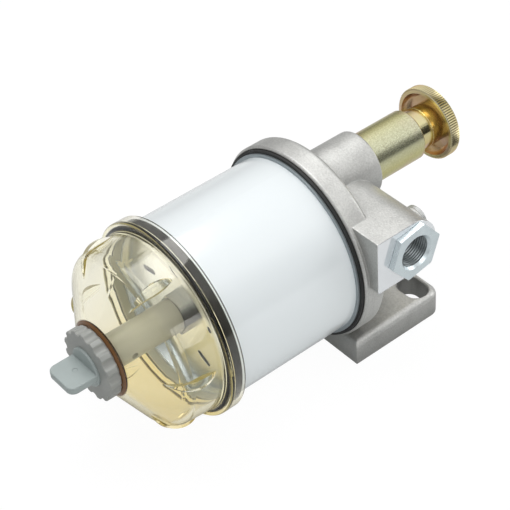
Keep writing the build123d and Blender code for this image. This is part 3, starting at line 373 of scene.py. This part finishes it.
def knurl_painted_shade(tree, ridges):
    """How deep a point lies in a groove of the knob's knurl, from 0 to 1, which sets the painted
    shade in the groove.
    """
    offset = away_from(tree, PUMP_AXIS)
    parts = split(tree, offset)
    angle = maths(tree, "ARCTAN2", parts["Z"], parts["X"])
    turns = maths(tree, "MULTIPLY", angle, ridges / (2 * math.pi))
    groove = map_range(tree, maths(tree, "PINGPONG", turns, 0.5), (0.15, 0.5), (0, 0.8))
    rim = box_radius("pump_knob")
    reach = vector_maths(tree, "LENGTH", offset)
    on_rim = map_range(tree, reach, (rim - 0.9 * MM, rim - 0.6 * MM))
    return maths(tree, "MULTIPLY", groove, on_rim)


def yellow_zinc_finish(
    colours, name, colour, roughness, depth, edge=SOFT_EDGE, pink=0.0, ridges=0, speckle=0.0,
):
    """Yellow zinc plate with drifting pink bands and a painted sheen, paler where seen straight on.

    Depth is the grain's, and ridges the number of grooves in a knurled rim that get painted shade.
    """
    material, tree, shader = new_finish(name, colour, 1, roughness)
    # Painted sheen: the angle the surface is seen at makes it paler straight on, and pinker and
    # darker at a slant
    facing = add_node(tree, "ShaderNodeLayerWeight", {"Blend": 0.3}).outputs["Facing"]
    lean = map_range(tree, facing, (0, 1), (pink - 0.08, pink + 0.14))
    bands = ramp(tree, maths(tree, "ADD", noise(tree, 45, roughness=0.6), lean), [
        (0.36, tint(colour, 1.04)), (0.52, colour),
        (0.68, colours.pink_zinc), (0.86, tint(colour, 0.85)),
    ])
    sheen_shares = (1.12, 1.22, 1.9)
    painted_sheen = tuple(min(channel * share, 1) for channel, share in zip(colour, sheen_shares))
    shade = mix_colour(tree, map_range(tree, facing, (0.05, 0.35)), (*painted_sheen, 1), bands)
    if speckle:
        dots = noise(tree, 1000, detail=2, roughness=0.7)
        specks = map_range(tree, dots, (0.42, 0.58), (speckle, 0))
        shade = mix_colour(tree, specks, shade, (*tint(colour, 0.55), 1))
    if ridges:
        # Painted shade in the grooves of the knurl
        shade = mix_colour(tree, knurl_painted_shade(tree, ridges), shade, (*tint(colour, 0.18), 1))
    feed(tree, shader, {"Base Color": shade})
    grain(tree, shader, noise(tree, 1000, detail=2), depth, edge)
    return material


def drifting_finish(name, colour, metallic, roughness, edge=SOFT_EDGE):
    """A finish with slight drift in its shade and roughness, and fine grain."""
    material, tree, shader = new_finish(name, colour, metallic, roughness)
    spread = (roughness * 0.88, min(roughness * 1.12, 1))
    feed(tree, shader, {
        "Base Color": cloudy(tree, colour, 70, 0.95, 1.05),
        "Roughness": map_range(tree, noise(tree, 250), NOISE_SPAN, spread),
    })
    grain(tree, shader, noise(tree, 700, detail=2), 0.02 * MM, edge)
    return material


def plain_finish(name):
    """One of the finishes from the table."""
    return drifting_finish(name, *PLAIN_FINISHES[name])


def fading_finish(name, node, axis, stops, metallic, roughness):
    """A finish whose colour changes along one axis of the frame, over the length of a node."""
    material, tree, shader = new_finish(name, stops[0][1], metallic, roughness)
    span = [corner["XYZ".index(axis)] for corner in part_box(node)]
    share = map_range(tree, split(tree, place(tree))[axis], span)
    feed(tree, shader, {"Base Color": ramp(tree, share, stops)})
    grain(tree, shader, noise(tree, 60, detail=2), 0.004 * MM)
    return material


def enamel_finish(colours):
    """Gloss white enamel with a faint flow in its surface."""
    material, tree, shader = new_finish("white_enamel", colours.enamel, 0, 0.16)
    feed(tree, shader, {
        "Base Color": cloudy(tree, colours.enamel, 12, 0.99, 1.01, detail=2),
        "Coat Weight": 0.6,
        "Coat Roughness": 0.04,
    })
    grain(tree, shader, noise(tree, 40, detail=2), 0.01 * MM, edge=0)
    return material


def clear_amber_finish(colours):
    """Clear amber plastic, deeper where its wall is thicker, and tinted deeper towards its bottom.
    """
    material, tree, shader = new_finish("clear_amber", (0.97, 0.95, 0.88), 0, 0.02)
    output = tree.nodes["Material Output"]
    low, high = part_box("bowl")
    point = split(tree, place(tree))
    # The colour is deeper amber towards the bottom
    bottom_tint = ramp(tree, map_range(tree, point["Z"], (low[2], high[2])), [
        (0.1, (0.92, 0.79, 0.46)), (0.27, (0.96, 0.925, 0.82)),
        (0.45, (0.98, 0.975, 0.955)), (0.7, (1, 0.995, 0.985)),
    ])
    feed(tree, shader, {
        "Base Color": bottom_tint,
        "Roughness": map_range(tree, noise(tree, 30), NOISE_SPAN, (0.01, 0.035)),
        "Transmission Weight": 1,
        "IOR": 1.5,
    })
    absorption = add_node(
        tree, "ShaderNodeVolumeAbsorption", {"Color": (*colours.amber, 1), "Density": 50},
    )
    # A ring of brown residue covers the end where the hand nut sits
    residue = add_node(
        tree, "ShaderNodeBsdfPrincipled", {"Base Color": (0.20, 0.085, 0.02, 1), "Roughness": 0.25},
    )
    nut_end = map_range(tree, point["Y"], (low[1] + 0.8 * MM, low[1] + 1.3 * MM), (1, 0))
    covered = mix_shader(tree, nut_end, shader.outputs["BSDF"], residue.outputs["BSDF"])
    # A ray that bounces on inside the wall would end black, so it ends in painted light instead, a
    # glow in the bowl's own colour, once it has crossed more walls or been mirrored more often than
    # this
    most_crossings = 6.5
    most_mirrorings = 2.5
    rays = tree.nodes.new("ShaderNodeLightPath").outputs
    crossed = maths(tree, "GREATER_THAN", rays["Transmission Depth"], most_crossings)
    mirrored = maths(tree, "GREATER_THAN", rays["Glossy Depth"], most_mirrorings)
    glow = add_node(tree, "ShaderNodeEmission", {"Color": (0.62, 0.57, 0.42, 1), "Strength": 0.6})
    deep = maths(tree, "MAXIMUM", crossed, mirrored)
    feed(tree, output, {
        "Surface": mix_shader(tree, deep, covered, glow.outputs[0]),
        "Volume": absorption.outputs["Volume"],
    })
    return material


def seal_finish():
    """Black rubber, with painted light on its lip inside the bowl, which is made pale."""
    black = (0.012, 0.012, 0.01)
    # Painted light: the lip inside the bowl is made pale to look lit
    painted_light_lip = (0.78, 0.78, 0.66)
    material, tree, shader = new_finish("bowl_seal_rubber", black, 0, 0.7)
    outer = box_radius("bowl_seal")
    reach = vector_maths(tree, "LENGTH", away_from(tree, CANISTER_AXIS))
    share = map_range(tree, reach, (outer - 4 * MM, outer - 2 * MM))
    feed(tree, shader, {
        "Base Color": ramp(tree, share, [(0, painted_light_lip), (1, black)]),
        "Specular IOR Level": 0.1,
    })
    return material


def dress(material, *names):
    """Gives CAD nodes a finish."""
    for name in names:
        mesh = nodes[name].data
        mesh.materials.clear()
        mesh.materials.append(material)


def new_piece(name, vertices, faces, material, body, smooth_angle=math.radians(32)):
    """A piece of the scene from its vertices and faces, smooth up to an angle between faces."""
    mesh = bpy.data.meshes.new(name)
    mesh.from_pydata(vertices, [], faces)
    shaped = bmesh.new()
    shaped.from_mesh(mesh)
    bmesh.ops.recalc_face_normals(shaped, faces=shaped.faces)
    shaped.to_mesh(mesh)
    shaped.free()
    mesh.shade_smooth()
    mesh.set_sharp_from_angle(angle=smooth_angle)
    mesh.materials.append(material)
    piece = bpy.data.objects.new(name, mesh)
    bpy.context.scene.collection.objects.link(piece)
    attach(piece, body)
    return piece


def turned_faces(rings, around):
    """Quads of a closed turned surface: the last ring joins the first."""
    faces = []
    for ring in range(rings):
        following = (ring + 1) % rings
        for step in range(around):
            beside = (step + 1) % around
            faces.append((
                ring * around + step, ring * around + beside,
                following * around + beside, following * around + step,
            ))
    return faces


def turned_vertices(axis, rings):
    """Points about an axis that runs along Y. Each point of a ring has a station and a radius."""
    vertices = []
    for ring in rings:
        for step, (station, radius) in enumerate(ring):
            angle = 2 * math.pi * step / len(ring)
            vertices.append((
                axis.x + radius * math.cos(angle), station, axis.z + radius * math.sin(angle),
            ))
    return vertices


def hexagon_reach(angle, flats):
    """Distance from a hexagon's centre to its side, at an angle from a corner."""
    within = angle % (math.pi / 3)
    return flats / 2 / math.cos(within - math.pi / 6)


class SEPARATOR_OT_casting(bpy.types.Operator):
    """Finish the head casting, its plug and nipple, and the rubber pieces"""

    bl_idname = "separator.casting"
    bl_label = "Finish Casting"

    def execute(self, context):
        colours = context.scene.separator_colours
        dress(casting_finish(colours), "head_casting")
        dress(zinc_finish(colours), "filter_nipple")
        dress(plain_finish("dull_zinc"), "vent_plug")
        dress(
            plain_finish("black_rubber"),
            "inlet_seal", "outlet_seal", "barrel_seal", "rod_seal", "piston_seal",
            "suction_valve", "delivery_valve", "nipple_grommet", "drain_seal",
        )
        return {"FINISHED"}


class SEPARATOR_OT_port_fittings(bpy.types.Operator):
    """Model the hexagon port fittings with their female threads"""

    bl_idname = "separator.port_fittings"
    bl_label = "Model Port Fittings"

    AROUND = 144
    ROWS_PER_TURN = 8
    # How steeply the thread's groove rises from its root to its crest: above 2 the crest is flat
    FLANK = 2.6
    # The front chamfer starts this far outside the flats, and slopes back at this angle
    CHAMFER_START = 1.9 * MM
    CHAMFER_ANGLE = math.radians(22)
    BACK_CHAMFER = 0.35 * MM

    def execute(self, context):
        sizes = context.scene.separator_sizes
        plate = zinc_finish(context.scene.separator_colours)
        thread = plain_finish("thread_in_shadow")
        for node in ("inlet_fitting", "outlet_fitting"):
            self.fitting(node, sizes, plate, thread)
        return {"FINISHED"}

    def fitting(self, node, sizes, plate, thread):
        middle = box_middle(node)
        out = 1 if middle.x > 0 else -1
        low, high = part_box(node)
        face = max(abs(low[0]), abs(high[0]))
        length = high[0] - low[0]
        angles = [2 * math.pi * step / self.AROUND for step in range(self.AROUND)]
        rings = self.thread_rings(sizes, length, out, angles)
        thread_faces = (len(rings) - 1) * self.AROUND
        rings += self.outer_rings(sizes, length, angles)
        vertices = []
        for ring in rings:
            for angle, (depth, radius) in zip(angles, ring):
                vertices.append((
                    out * (face - depth),
                    middle.y + radius * math.cos(angle),
                    middle.z + radius * math.sin(angle),
                ))
        faces = turned_faces(len(rings), self.AROUND)
        piece = new_piece(node + "_threaded", vertices, faces, plate, "head")
        piece.data.materials.append(thread)
        for polygon in piece.data.polygons[:thread_faces]:
            polygon.material_index = 1
        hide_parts(node)

    def thread_rings(self, sizes, length, out, angles):
        """Depths and radii of the thread, from the fitting's inner end to its mouth."""
        pitch = sizes.thread_pitch
        mouth_depth = sizes.port_mouth - sizes.port_bore
        rows = int((length - mouth_depth) / pitch * self.ROWS_PER_TURN)
        rings = []
        for row in range(rows + 1):
            depth = length - row * pitch / self.ROWS_PER_TURN
            ring = []
            for angle in angles:
                phase = (depth / pitch + out * angle / (2 * math.pi)) % 1
                groove = max(0.0, 1 - abs(phase - 0.5) * self.FLANK)
                ring.append((depth, sizes.port_bore + sizes.thread_depth * groove))
            rings.append(ring)
        return rings

    def outer_rings(self, sizes, length, angles):
        """Depths and radii from the mouth, over the hexagon, to the spigot's inner end."""
        shoulder = length - sizes.spigot_depth
        chamfer = sizes.hex_flats / 2 + self.CHAMFER_START
        slope = math.tan(self.CHAMFER_ANGLE)
        corners = [hexagon_reach(angle - sizes.hex_turn, sizes.hex_flats) for angle in angles]
        return [
            [(0, sizes.port_mouth)] * self.AROUND,
            [(0, min(chamfer, corner)) for corner in corners],
            [(max(0, corner - chamfer) * slope, corner) for corner in corners],
            [(shoulder - self.BACK_CHAMFER, corner) for corner in corners],
            [(shoulder, corner - self.BACK_CHAMFER) for corner in corners],
            [(shoulder, sizes.spigot_radius)] * self.AROUND,
            [(length, sizes.spigot_radius)] * self.AROUND,
        ]


class SEPARATOR_OT_pump(bpy.types.Operator):
    """Finish the priming pump, and model its return spring and knurled knob"""

    bl_idname = "separator.pump"
    bl_label = "Finish Pump"

    SPRING_STEPS_PER_TURN = 48
    WIRE_SIDES = 12
    # The knob's section: its rim's width, then the depth and the radii of its dish and spigot
    RIM_WIDTH = 6.6 * MM
    DISH_DEPTH = 2.3 * MM
    DISH_MOUTH = 19.5 * MM
    DISH_ROOT = 16.5 * MM
    DISH_STEPS = 8
    DISH_BULGE = 0.5 * MM
    # How much of the bulge widens the dish too
    DISH_FLARE = 0.4
    SPIGOT_RADIUS = 10.55 * MM
    SPIGOT_BORE = 7.6 * MM
    # The section is closed just off the axis, so that its faces there have a width
    AXIS_RADIUS = 0.02 * MM
    # The rim's rounding: how far in from its front or back face, and from its radius
    FRONT_ROUNDING = ((0, 1.0 * MM), (0.5 * MM, 0.05 * MM), (0.9 * MM, 0))
    BACK_ROUNDING = ((0.8 * MM, 0), (0.35 * MM, 0.1 * MM), (0, 0.8 * MM))
    # How deep the knurl is cut at the steps from one ridge to the next
    RIDGE_STEPS = (0.0, 0.5, 1.0, 0.5)
    KNOB_SMOOTH_ANGLE = math.radians(24)

    def execute(self, context):
        sizes = context.scene.separator_sizes
        colours = context.scene.separator_colours
        satin = yellow_zinc_finish(
            colours, "yellow_zinc_satin", colours.yellow_zinc, roughness=0.27, depth=0.03 * MM,
            speckle=0.3,
        )
        gloss = yellow_zinc_finish(
            colours, "yellow_zinc_gloss", colours.gold_zinc, roughness=0.14, depth=0.006 * MM,
        )
        rim = yellow_zinc_finish(
            colours, "yellow_zinc_knob", colours.knob_zinc, roughness=0.24, depth=0.008 * MM,
            edge=0, pink=0.06, ridges=sizes.knurl_ridges,
        )
        dish = yellow_zinc_finish(
            colours, "yellow_zinc_dish", colours.dish_zinc, roughness=0.2, depth=0.004 * MM,
            edge=0, pink=0.1,
        )
        wire = plain_finish("spring_wire")
        dress(satin, "pump_barrel")
        dress(gloss, "plunger_tube")
        dress(plain_finish("machined_brass"), "pump_piston", "valve_plate")
        dress(wire, "piston_screw", "element_spring")
        self.spring(sizes, wire)
        self.knob(sizes, rim, dish, gloss)
        return {"FINISHED"}

    def spring(self, sizes, material):
        low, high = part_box("pump_spring")
        wire = sizes.spring_wire
        radius = box_radius("pump_spring") - wire
        start, end = low[1] + wire, high[1] - wire
        steps = sizes.spring_turns * self.SPRING_STEPS_PER_TURN
        along = Vector((0, 1, 0))
        vertices = []
        for step in range(steps + 1):
            turn = 2 * math.pi * sizes.spring_turns * step / steps
            outward = Vector((math.cos(turn), 0, math.sin(turn)))
            station = start + (end - start) * step / steps
            centre = Vector((PUMP_AXIS.x, station, PUMP_AXIS.z)) + outward * radius
            for side in range(self.WIRE_SIDES):
                angle = 2 * math.pi * side / self.WIRE_SIDES
                offset = math.cos(angle) * outward + math.sin(angle) * along
                vertices.append(centre + wire * offset)
        # The coil is open, so its two ends get caps instead of the faces that would join them
        last = steps * self.WIRE_SIDES
        faces = turned_faces(steps + 1, self.WIRE_SIDES)[:last]
        faces += [tuple(range(self.WIRE_SIDES)), tuple(range(last, last + self.WIRE_SIDES))]
        piece = new_piece("pump_spring_coil", vertices, faces, material, "head")
        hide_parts("pump_spring")
        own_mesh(piece)

    def knob(self, sizes, rim_material, dish_material, spigot_material):
        low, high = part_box("pump_knob")
        radius = box_radius("pump_knob")
        back = high[1]
        front = back - self.RIM_WIDTH
        floor = back - self.DISH_DEPTH
        spigot = [
            (floor, self.SPIGOT_BORE), (low[1], self.SPIGOT_BORE),
            (low[1], self.SPIGOT_RADIUS), (floor, self.SPIGOT_RADIUS),
        ]
        dish = []
        for step in range(self.DISH_STEPS + 1):
            share = step / self.DISH_STEPS
            bulge = math.sin(share * math.pi) * self.DISH_BULGE
            station = floor + (front - floor) * share + bulge
            reach = self.DISH_ROOT + (self.DISH_MOUTH - self.DISH_ROOT) * share
            dish.append((station, reach + bulge * self.DISH_FLARE))
        rim = [(front + along, radius - inset) for along, inset in self.FRONT_ROUNDING]
        rim += [(back - along, radius - inset) for along, inset in self.BACK_ROUNDING]
        middle = [(back, self.AXIS_RADIUS), (floor, self.AXIS_RADIUS)]
        profile = spigot + dish + rim + middle
        # The knurl is cut in all of the rim but the edges of its two faces
        rim_start = len(spigot) + len(dish)
        knurled = range(rim_start + 1, rim_start + len(rim) - 1)
        around = sizes.knurl_ridges * len(self.RIDGE_STEPS)
        rings = []
        for index, (station, reach) in enumerate(profile):
            depth = sizes.knurl_depth if index in knurled else 0.0
            cuts = [depth * share for share in self.RIDGE_STEPS] * sizes.knurl_ridges
            rings.append([(station, reach - cut) for cut in cuts])
        piece = new_piece(
            "pump_knob_knurled", turned_vertices(PUMP_AXIS, rings),
            turned_faces(len(profile), around), rim_material, "plunger",
            self.KNOB_SMOOTH_ANGLE,
        )
        polygons = piece.data.polygons
        # The later, shorter run of faces lies within the earlier one
        for index, material, rows in (
            (1, dish_material, rim_start - 1), (2, spigot_material, len(spigot) - 1),
        ):
            piece.data.materials.append(material)
            for polygon in polygons[:rows * around]:
                polygon.material_index = index
        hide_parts("pump_knob")


class SEPARATOR_OT_canister(bpy.types.Operator):
    """Finish the canister, its thread plate and gasket, and what it holds"""

    bl_idname = "separator.canister"
    bl_label = "Finish Canister"

    # The end plate has a painted highlight: it is bright above, and darker and bluer below
    PLATE_SHADES = ((0.45, (0.76, 0.81, 0.87)), (0.8, (0.98, 0.98, 0.95)))
    # The hub has painted shade below and a painted highlight above: it is dark below, and bright
    # above
    HUB_SHADES = (
        (0.76, (0.03, 0.03, 0.027)), (0.84, (0.17, 0.18, 0.17)), (0.97, (0.45, 0.45, 0.42)),
    )

    def execute(self, context):
        dress(enamel_finish(context.scene.separator_colours), "canister_shell")
        dress(plain_finish("seam_steel"), "thread_plate")
        dress(plain_finish("plated_sheet"), "centre_tube", "top_end_cap", "bottom_end_cap")
        dress(plain_finish("filter_paper"), "filter_element")
        dress(plain_finish("gasket_rubber"), "filter_gasket")
        dress(
            fading_finish("bright_sheet", "end_plate", "Z", self.PLATE_SHADES, 1, 0.25),
            "end_plate",
        )
        dress(fading_finish("hub_steel", "stem_hub", "Z", self.HUB_SHADES, 1, 0.15), "stem_hub")
        return {"FINISHED"}


class SEPARATOR_OT_seal(bpy.types.Operator):
    """Model the round seal that shows through the bowl's rim"""

    bl_idname = "separator.seal"
    bl_label = "Model Bowl Seal"

    AROUND = 240
    CORNER_STEPS = 4

    def execute(self, context):
        sizes = context.scene.separator_sizes
        low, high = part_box("bowl_seal")
        corner = sizes.seal_round
        outer = box_radius("bowl_seal") - sizes.seal_gap
        inner = outer - sizes.seal_width
        front, back = low[1] + corner, high[1] - corner
        corners = (
            (back, outer - corner), (back, inner + corner),
            (front, inner + corner), (front, outer - corner),
        )
        rings = []
        for quarter, (station, radius) in enumerate(corners):
            for step in range(self.CORNER_STEPS + 1):
                angle = math.radians(90 * (quarter + step / self.CORNER_STEPS))
                point = (station + corner * math.sin(angle), radius + corner * math.cos(angle))
                rings.append([point] * self.AROUND)
        piece = new_piece(
            "bowl_seal_round", turned_vertices(CANISTER_AXIS, rings),
            turned_faces(len(rings), self.AROUND), seal_finish(), "bowl_group",
        )
        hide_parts("bowl_seal")
        return {"FINISHED"}


class SEPARATOR_OT_bowl(bpy.types.Operator):
    """Finish the clear bowl, its stem, hand nut and drain valve"""

    bl_idname = "separator.bowl"
    bl_label = "Finish Bowl"

    # The stem has painted shade towards the hub: where the shade starts, and how dark it gets
    PAINTED_SHADE_START = 0.45
    PAINTED_SHADE_TINT = 0.62

    def execute(self, context):
        colours = context.scene.separator_colours
        dress(clear_amber_finish(colours), "bowl")
        dress(plain_finish("brown_rubber"), "nut_gasket")
        cream = tuple(colours.cream)
        shades = ((self.PAINTED_SHADE_START, cream), (1, tint(cream, self.PAINTED_SHADE_TINT)))
        dress(fading_finish("cream_plastic", "bowl_stem", "Y", shades, 0, 0.3), "bowl_stem")
        grey = drifting_finish("grey_plastic", colours.grey, 0, 0.42, edge=0.5 * MM)
        blue_grey = drifting_finish("blue_grey_plastic", colours.blue_grey, 0, 0.40, edge=0.7 * MM)
        dress(grey, "collar_nut")
        dress(blue_grey, "drain_valve")
        return {"FINISHED"}


class SEPARATOR_OT_stage(bpy.types.Operator):
    """Set the floor, the world, the lamps and the camera"""

    bl_idname = "separator.stage"
    bl_label = "Set Stage"

    # The photograph's view: where the camera stands, and how it is turned about its own axis
    CAMERA_PLACE = (0.5257, -0.4719, 0.6391)
    CAMERA_BACK = (0.6066, -0.4463, 0.6579)
    CAMERA_ROLL = math.radians(-4.81)
    FOCAL_LENGTH = 111.4
    SENSOR = 36
    # The floor: how much of its white is its own, seen straight, through the bowl and by the
    # rays that light the object
    FLOOR_SIZE = 6
    FLOOR_GLOW = 0.93
    FLOOR_GLOW_THROUGH = 0.80
    BOUNCE_GLOW = 0.14
    GLOW_STRENGTH = 1.03
    PAPER = (0.85, 0.85, 0.85)
    PAPER_BOUNCE = (0.66, 0.67, 0.67)
    # The room's greys from straight below (0) to straight above (1): as light, mirrored in the
    # metal, and seen through the bowl
    ROOM_LIGHT = 0.58
    ROOM_SOFT = ((0.35, 0.12), (0.55, 0.2), (0.9, 1))
    ROOM_MIRRORED = ((0.42, 0.75), (0.52, 0.28), (0.65, 0.5), (0.85, 1))
    ROOM_THROUGH = ((0.42, 0.85), (0.52, 0.5), (0.65, 0.75), (0.85, 1))
    # A dark flag beyond the pump, seen only as a reflection: its direction, and where it fades out
    FLAG = (0.862, 0.446, 0.24)
    FLAG_REACH = (0.30, 0.58)
    FLAG_SHADE = 0.08
    # Each lamp's name, place, size, power and share in reflections. They all point at AIM
    AIM = (0, -0.07, 0.06)
    LAMPS = (
        ("key", (-0.25, -0.05, 1.1), 0.8, 6.0, 0.4),
        ("side", (1.1, -0.1, 0.5), 0.6, 2.9, 0.0),
        ("back", (0.6, 1.1, 0.5), 0.7, 3.6, 0.0),
    )

    def execute(self, context):
        self.floor()
        self.world(context.scene)
        self.lamps()
        self.camera(context.scene)
        context.scene.view_settings.view_transform = "Standard"
        return {"FINISHED"}

    def show(self, tree, bounced, through, straight, output):
        """Ends a tree in one shader each for bounced rays, refracted rays and straight rays."""
        rays = tree.nodes.new("ShaderNodeLightPath").outputs
        unseen = mix_shader(tree, rays["Is Transmission Ray"], bounced, through)
        shown = mix_shader(tree, rays["Is Camera Ray"], unseen, straight)
        add_node(tree, output, {"Surface": shown})

    def floor(self):
        material = bpy.data.materials.new("pale_floor")
        material.use_nodes = True
        tree = material.node_tree
        tree.nodes.clear()
        white = add_node(
            tree, "ShaderNodeEmission", {"Color": (1, 1, 1, 1), "Strength": self.GLOW_STRENGTH},
        ).outputs[0]
        paper, lit = (
            add_node(tree, "ShaderNodeBsdfDiffuse", {"Color": (*colour, 1)}).outputs[0]
            for colour in (self.PAPER, self.PAPER_BOUNCE)
        )
        bounced = mix_shader(tree, self.BOUNCE_GLOW, lit, white)
        through = mix_shader(tree, self.FLOOR_GLOW_THROUGH, paper, white)
        straight = mix_shader(tree, self.FLOOR_GLOW, paper, white)
        self.show(tree, bounced, through, straight, "ShaderNodeOutputMaterial")
        bpy.ops.mesh.primitive_plane_add(size=self.FLOOR_SIZE, location=(0, 0, 0))
        floor = bpy.context.object
        floor.name = "floor"
        floor.data.materials.append(material)

    def world(self, scene):
        world = bpy.data.worlds.new("studio")
        scene.world = world
        world.use_nodes = True
        tree = world.node_tree
        tree.nodes.clear()
        direction = tree.nodes.new("ShaderNodeTexCoord").outputs["Generated"]
        height = map_range(tree, split(tree, direction)["Z"], (-1, 1))
        apart = vector_maths(tree, "DISTANCE", direction, self.FLAG)
        flag = map_range(tree, apart, self.FLAG_REACH, (self.FLAG_SHADE, 1))
        looks = (
            (grey_ramp(tree, height, self.ROOM_SOFT), self.ROOM_LIGHT),
            (grey_ramp(tree, height, self.ROOM_MIRRORED), flag),
            (grey_ramp(tree, height, self.ROOM_THROUGH), 1),
            ((1, 1, 1, 1), 1),
        )
        soft, mirrored, through, straight = (
            add_node(
                tree, "ShaderNodeBackground", {"Color": shade, "Strength": strength},
            ).outputs[0]
            for shade, strength in looks
        )
        rays = tree.nodes.new("ShaderNodeLightPath").outputs
        bounced = mix_shader(tree, rays["Is Glossy Ray"], soft, mirrored)
        self.show(tree, bounced, through, straight, "ShaderNodeOutputWorld")

    def lamps(self):
        aim = Vector(self.AIM)
        for name, location, size, power, shine in self.LAMPS:
            light = bpy.data.lights.new(name, "AREA")
            light.size = size
            light.energy = power
            light.specular_factor = shine
            lamp = bpy.data.objects.new(name, light)
            lamp.location = location
            lamp.rotation_euler = (aim - Vector(location)).to_track_quat("-Z", "Y").to_euler()
            bpy.context.scene.collection.objects.link(lamp)

    def camera(self, scene):
        back = Vector(self.CAMERA_BACK).normalized()
        level = Vector((0, 0, 1)).cross(back).normalized()
        upright = back.cross(level)
        right = math.cos(self.CAMERA_ROLL) * level + math.sin(self.CAMERA_ROLL) * upright
        up = back.cross(right)
        lens = bpy.data.cameras.new("camera")
        lens.lens = self.FOCAL_LENGTH
        lens.sensor_width = self.SENSOR
        camera = bpy.data.objects.new("camera", lens)
        turn = Matrix((right, up, back)).transposed().to_4x4()
        camera.matrix_world = Matrix.Translation(self.CAMERA_PLACE) @ turn
        scene.collection.objects.link(camera)
        scene.camera = camera


class SEPARATOR_PT_panel(bpy.types.Panel):
    """Sizes, colours and operators of the separator"""

    bl_idname = "SEPARATOR_PT_panel"
    bl_label = "Fuel Water Separator"
    bl_space_type = "VIEW_3D"
    bl_region_type = "UI"
    bl_category = "Separator"

    def draw(self, context):
        for operator in OPERATORS:
            self.layout.operator(operator.bl_idname)
        for group in (context.scene.separator_sizes, context.scene.separator_colours):
            for name in group.bl_rna.properties.keys():
                if name not in ("rna_type", "name"):
                    self.layout.prop(group, name)


OPERATORS = (
    SEPARATOR_OT_casting,
    SEPARATOR_OT_port_fittings,
    SEPARATOR_OT_pump,
    SEPARATOR_OT_canister,
    SEPARATOR_OT_seal,
    SEPARATOR_OT_bowl,
    SEPARATOR_OT_stage,
)
CLASSES = (SeparatorSizes, SeparatorColours, *OPERATORS, SEPARATOR_PT_panel)


def register():
    for each in CLASSES:
        bpy.utils.register_class(each)
    bpy.types.Scene.separator_sizes = bpy.props.PointerProperty(type=SeparatorSizes)
    bpy.types.Scene.separator_colours = bpy.props.PointerProperty(type=SeparatorColours)


def unregister():
    del bpy.types.Scene.separator_colours
    del bpy.types.Scene.separator_sizes
    for each in reversed(CLASSES):
        bpy.utils.unregister_class(each)


def main():
    register()
    bpy.ops.separator.casting()
    bpy.ops.separator.port_fittings()
    bpy.ops.separator.pump()
    bpy.ops.separator.canister()
    bpy.ops.separator.seal()
    bpy.ops.separator.bowl()
    bpy.ops.separator.stage()


if __name__ == "__main__":
    main()
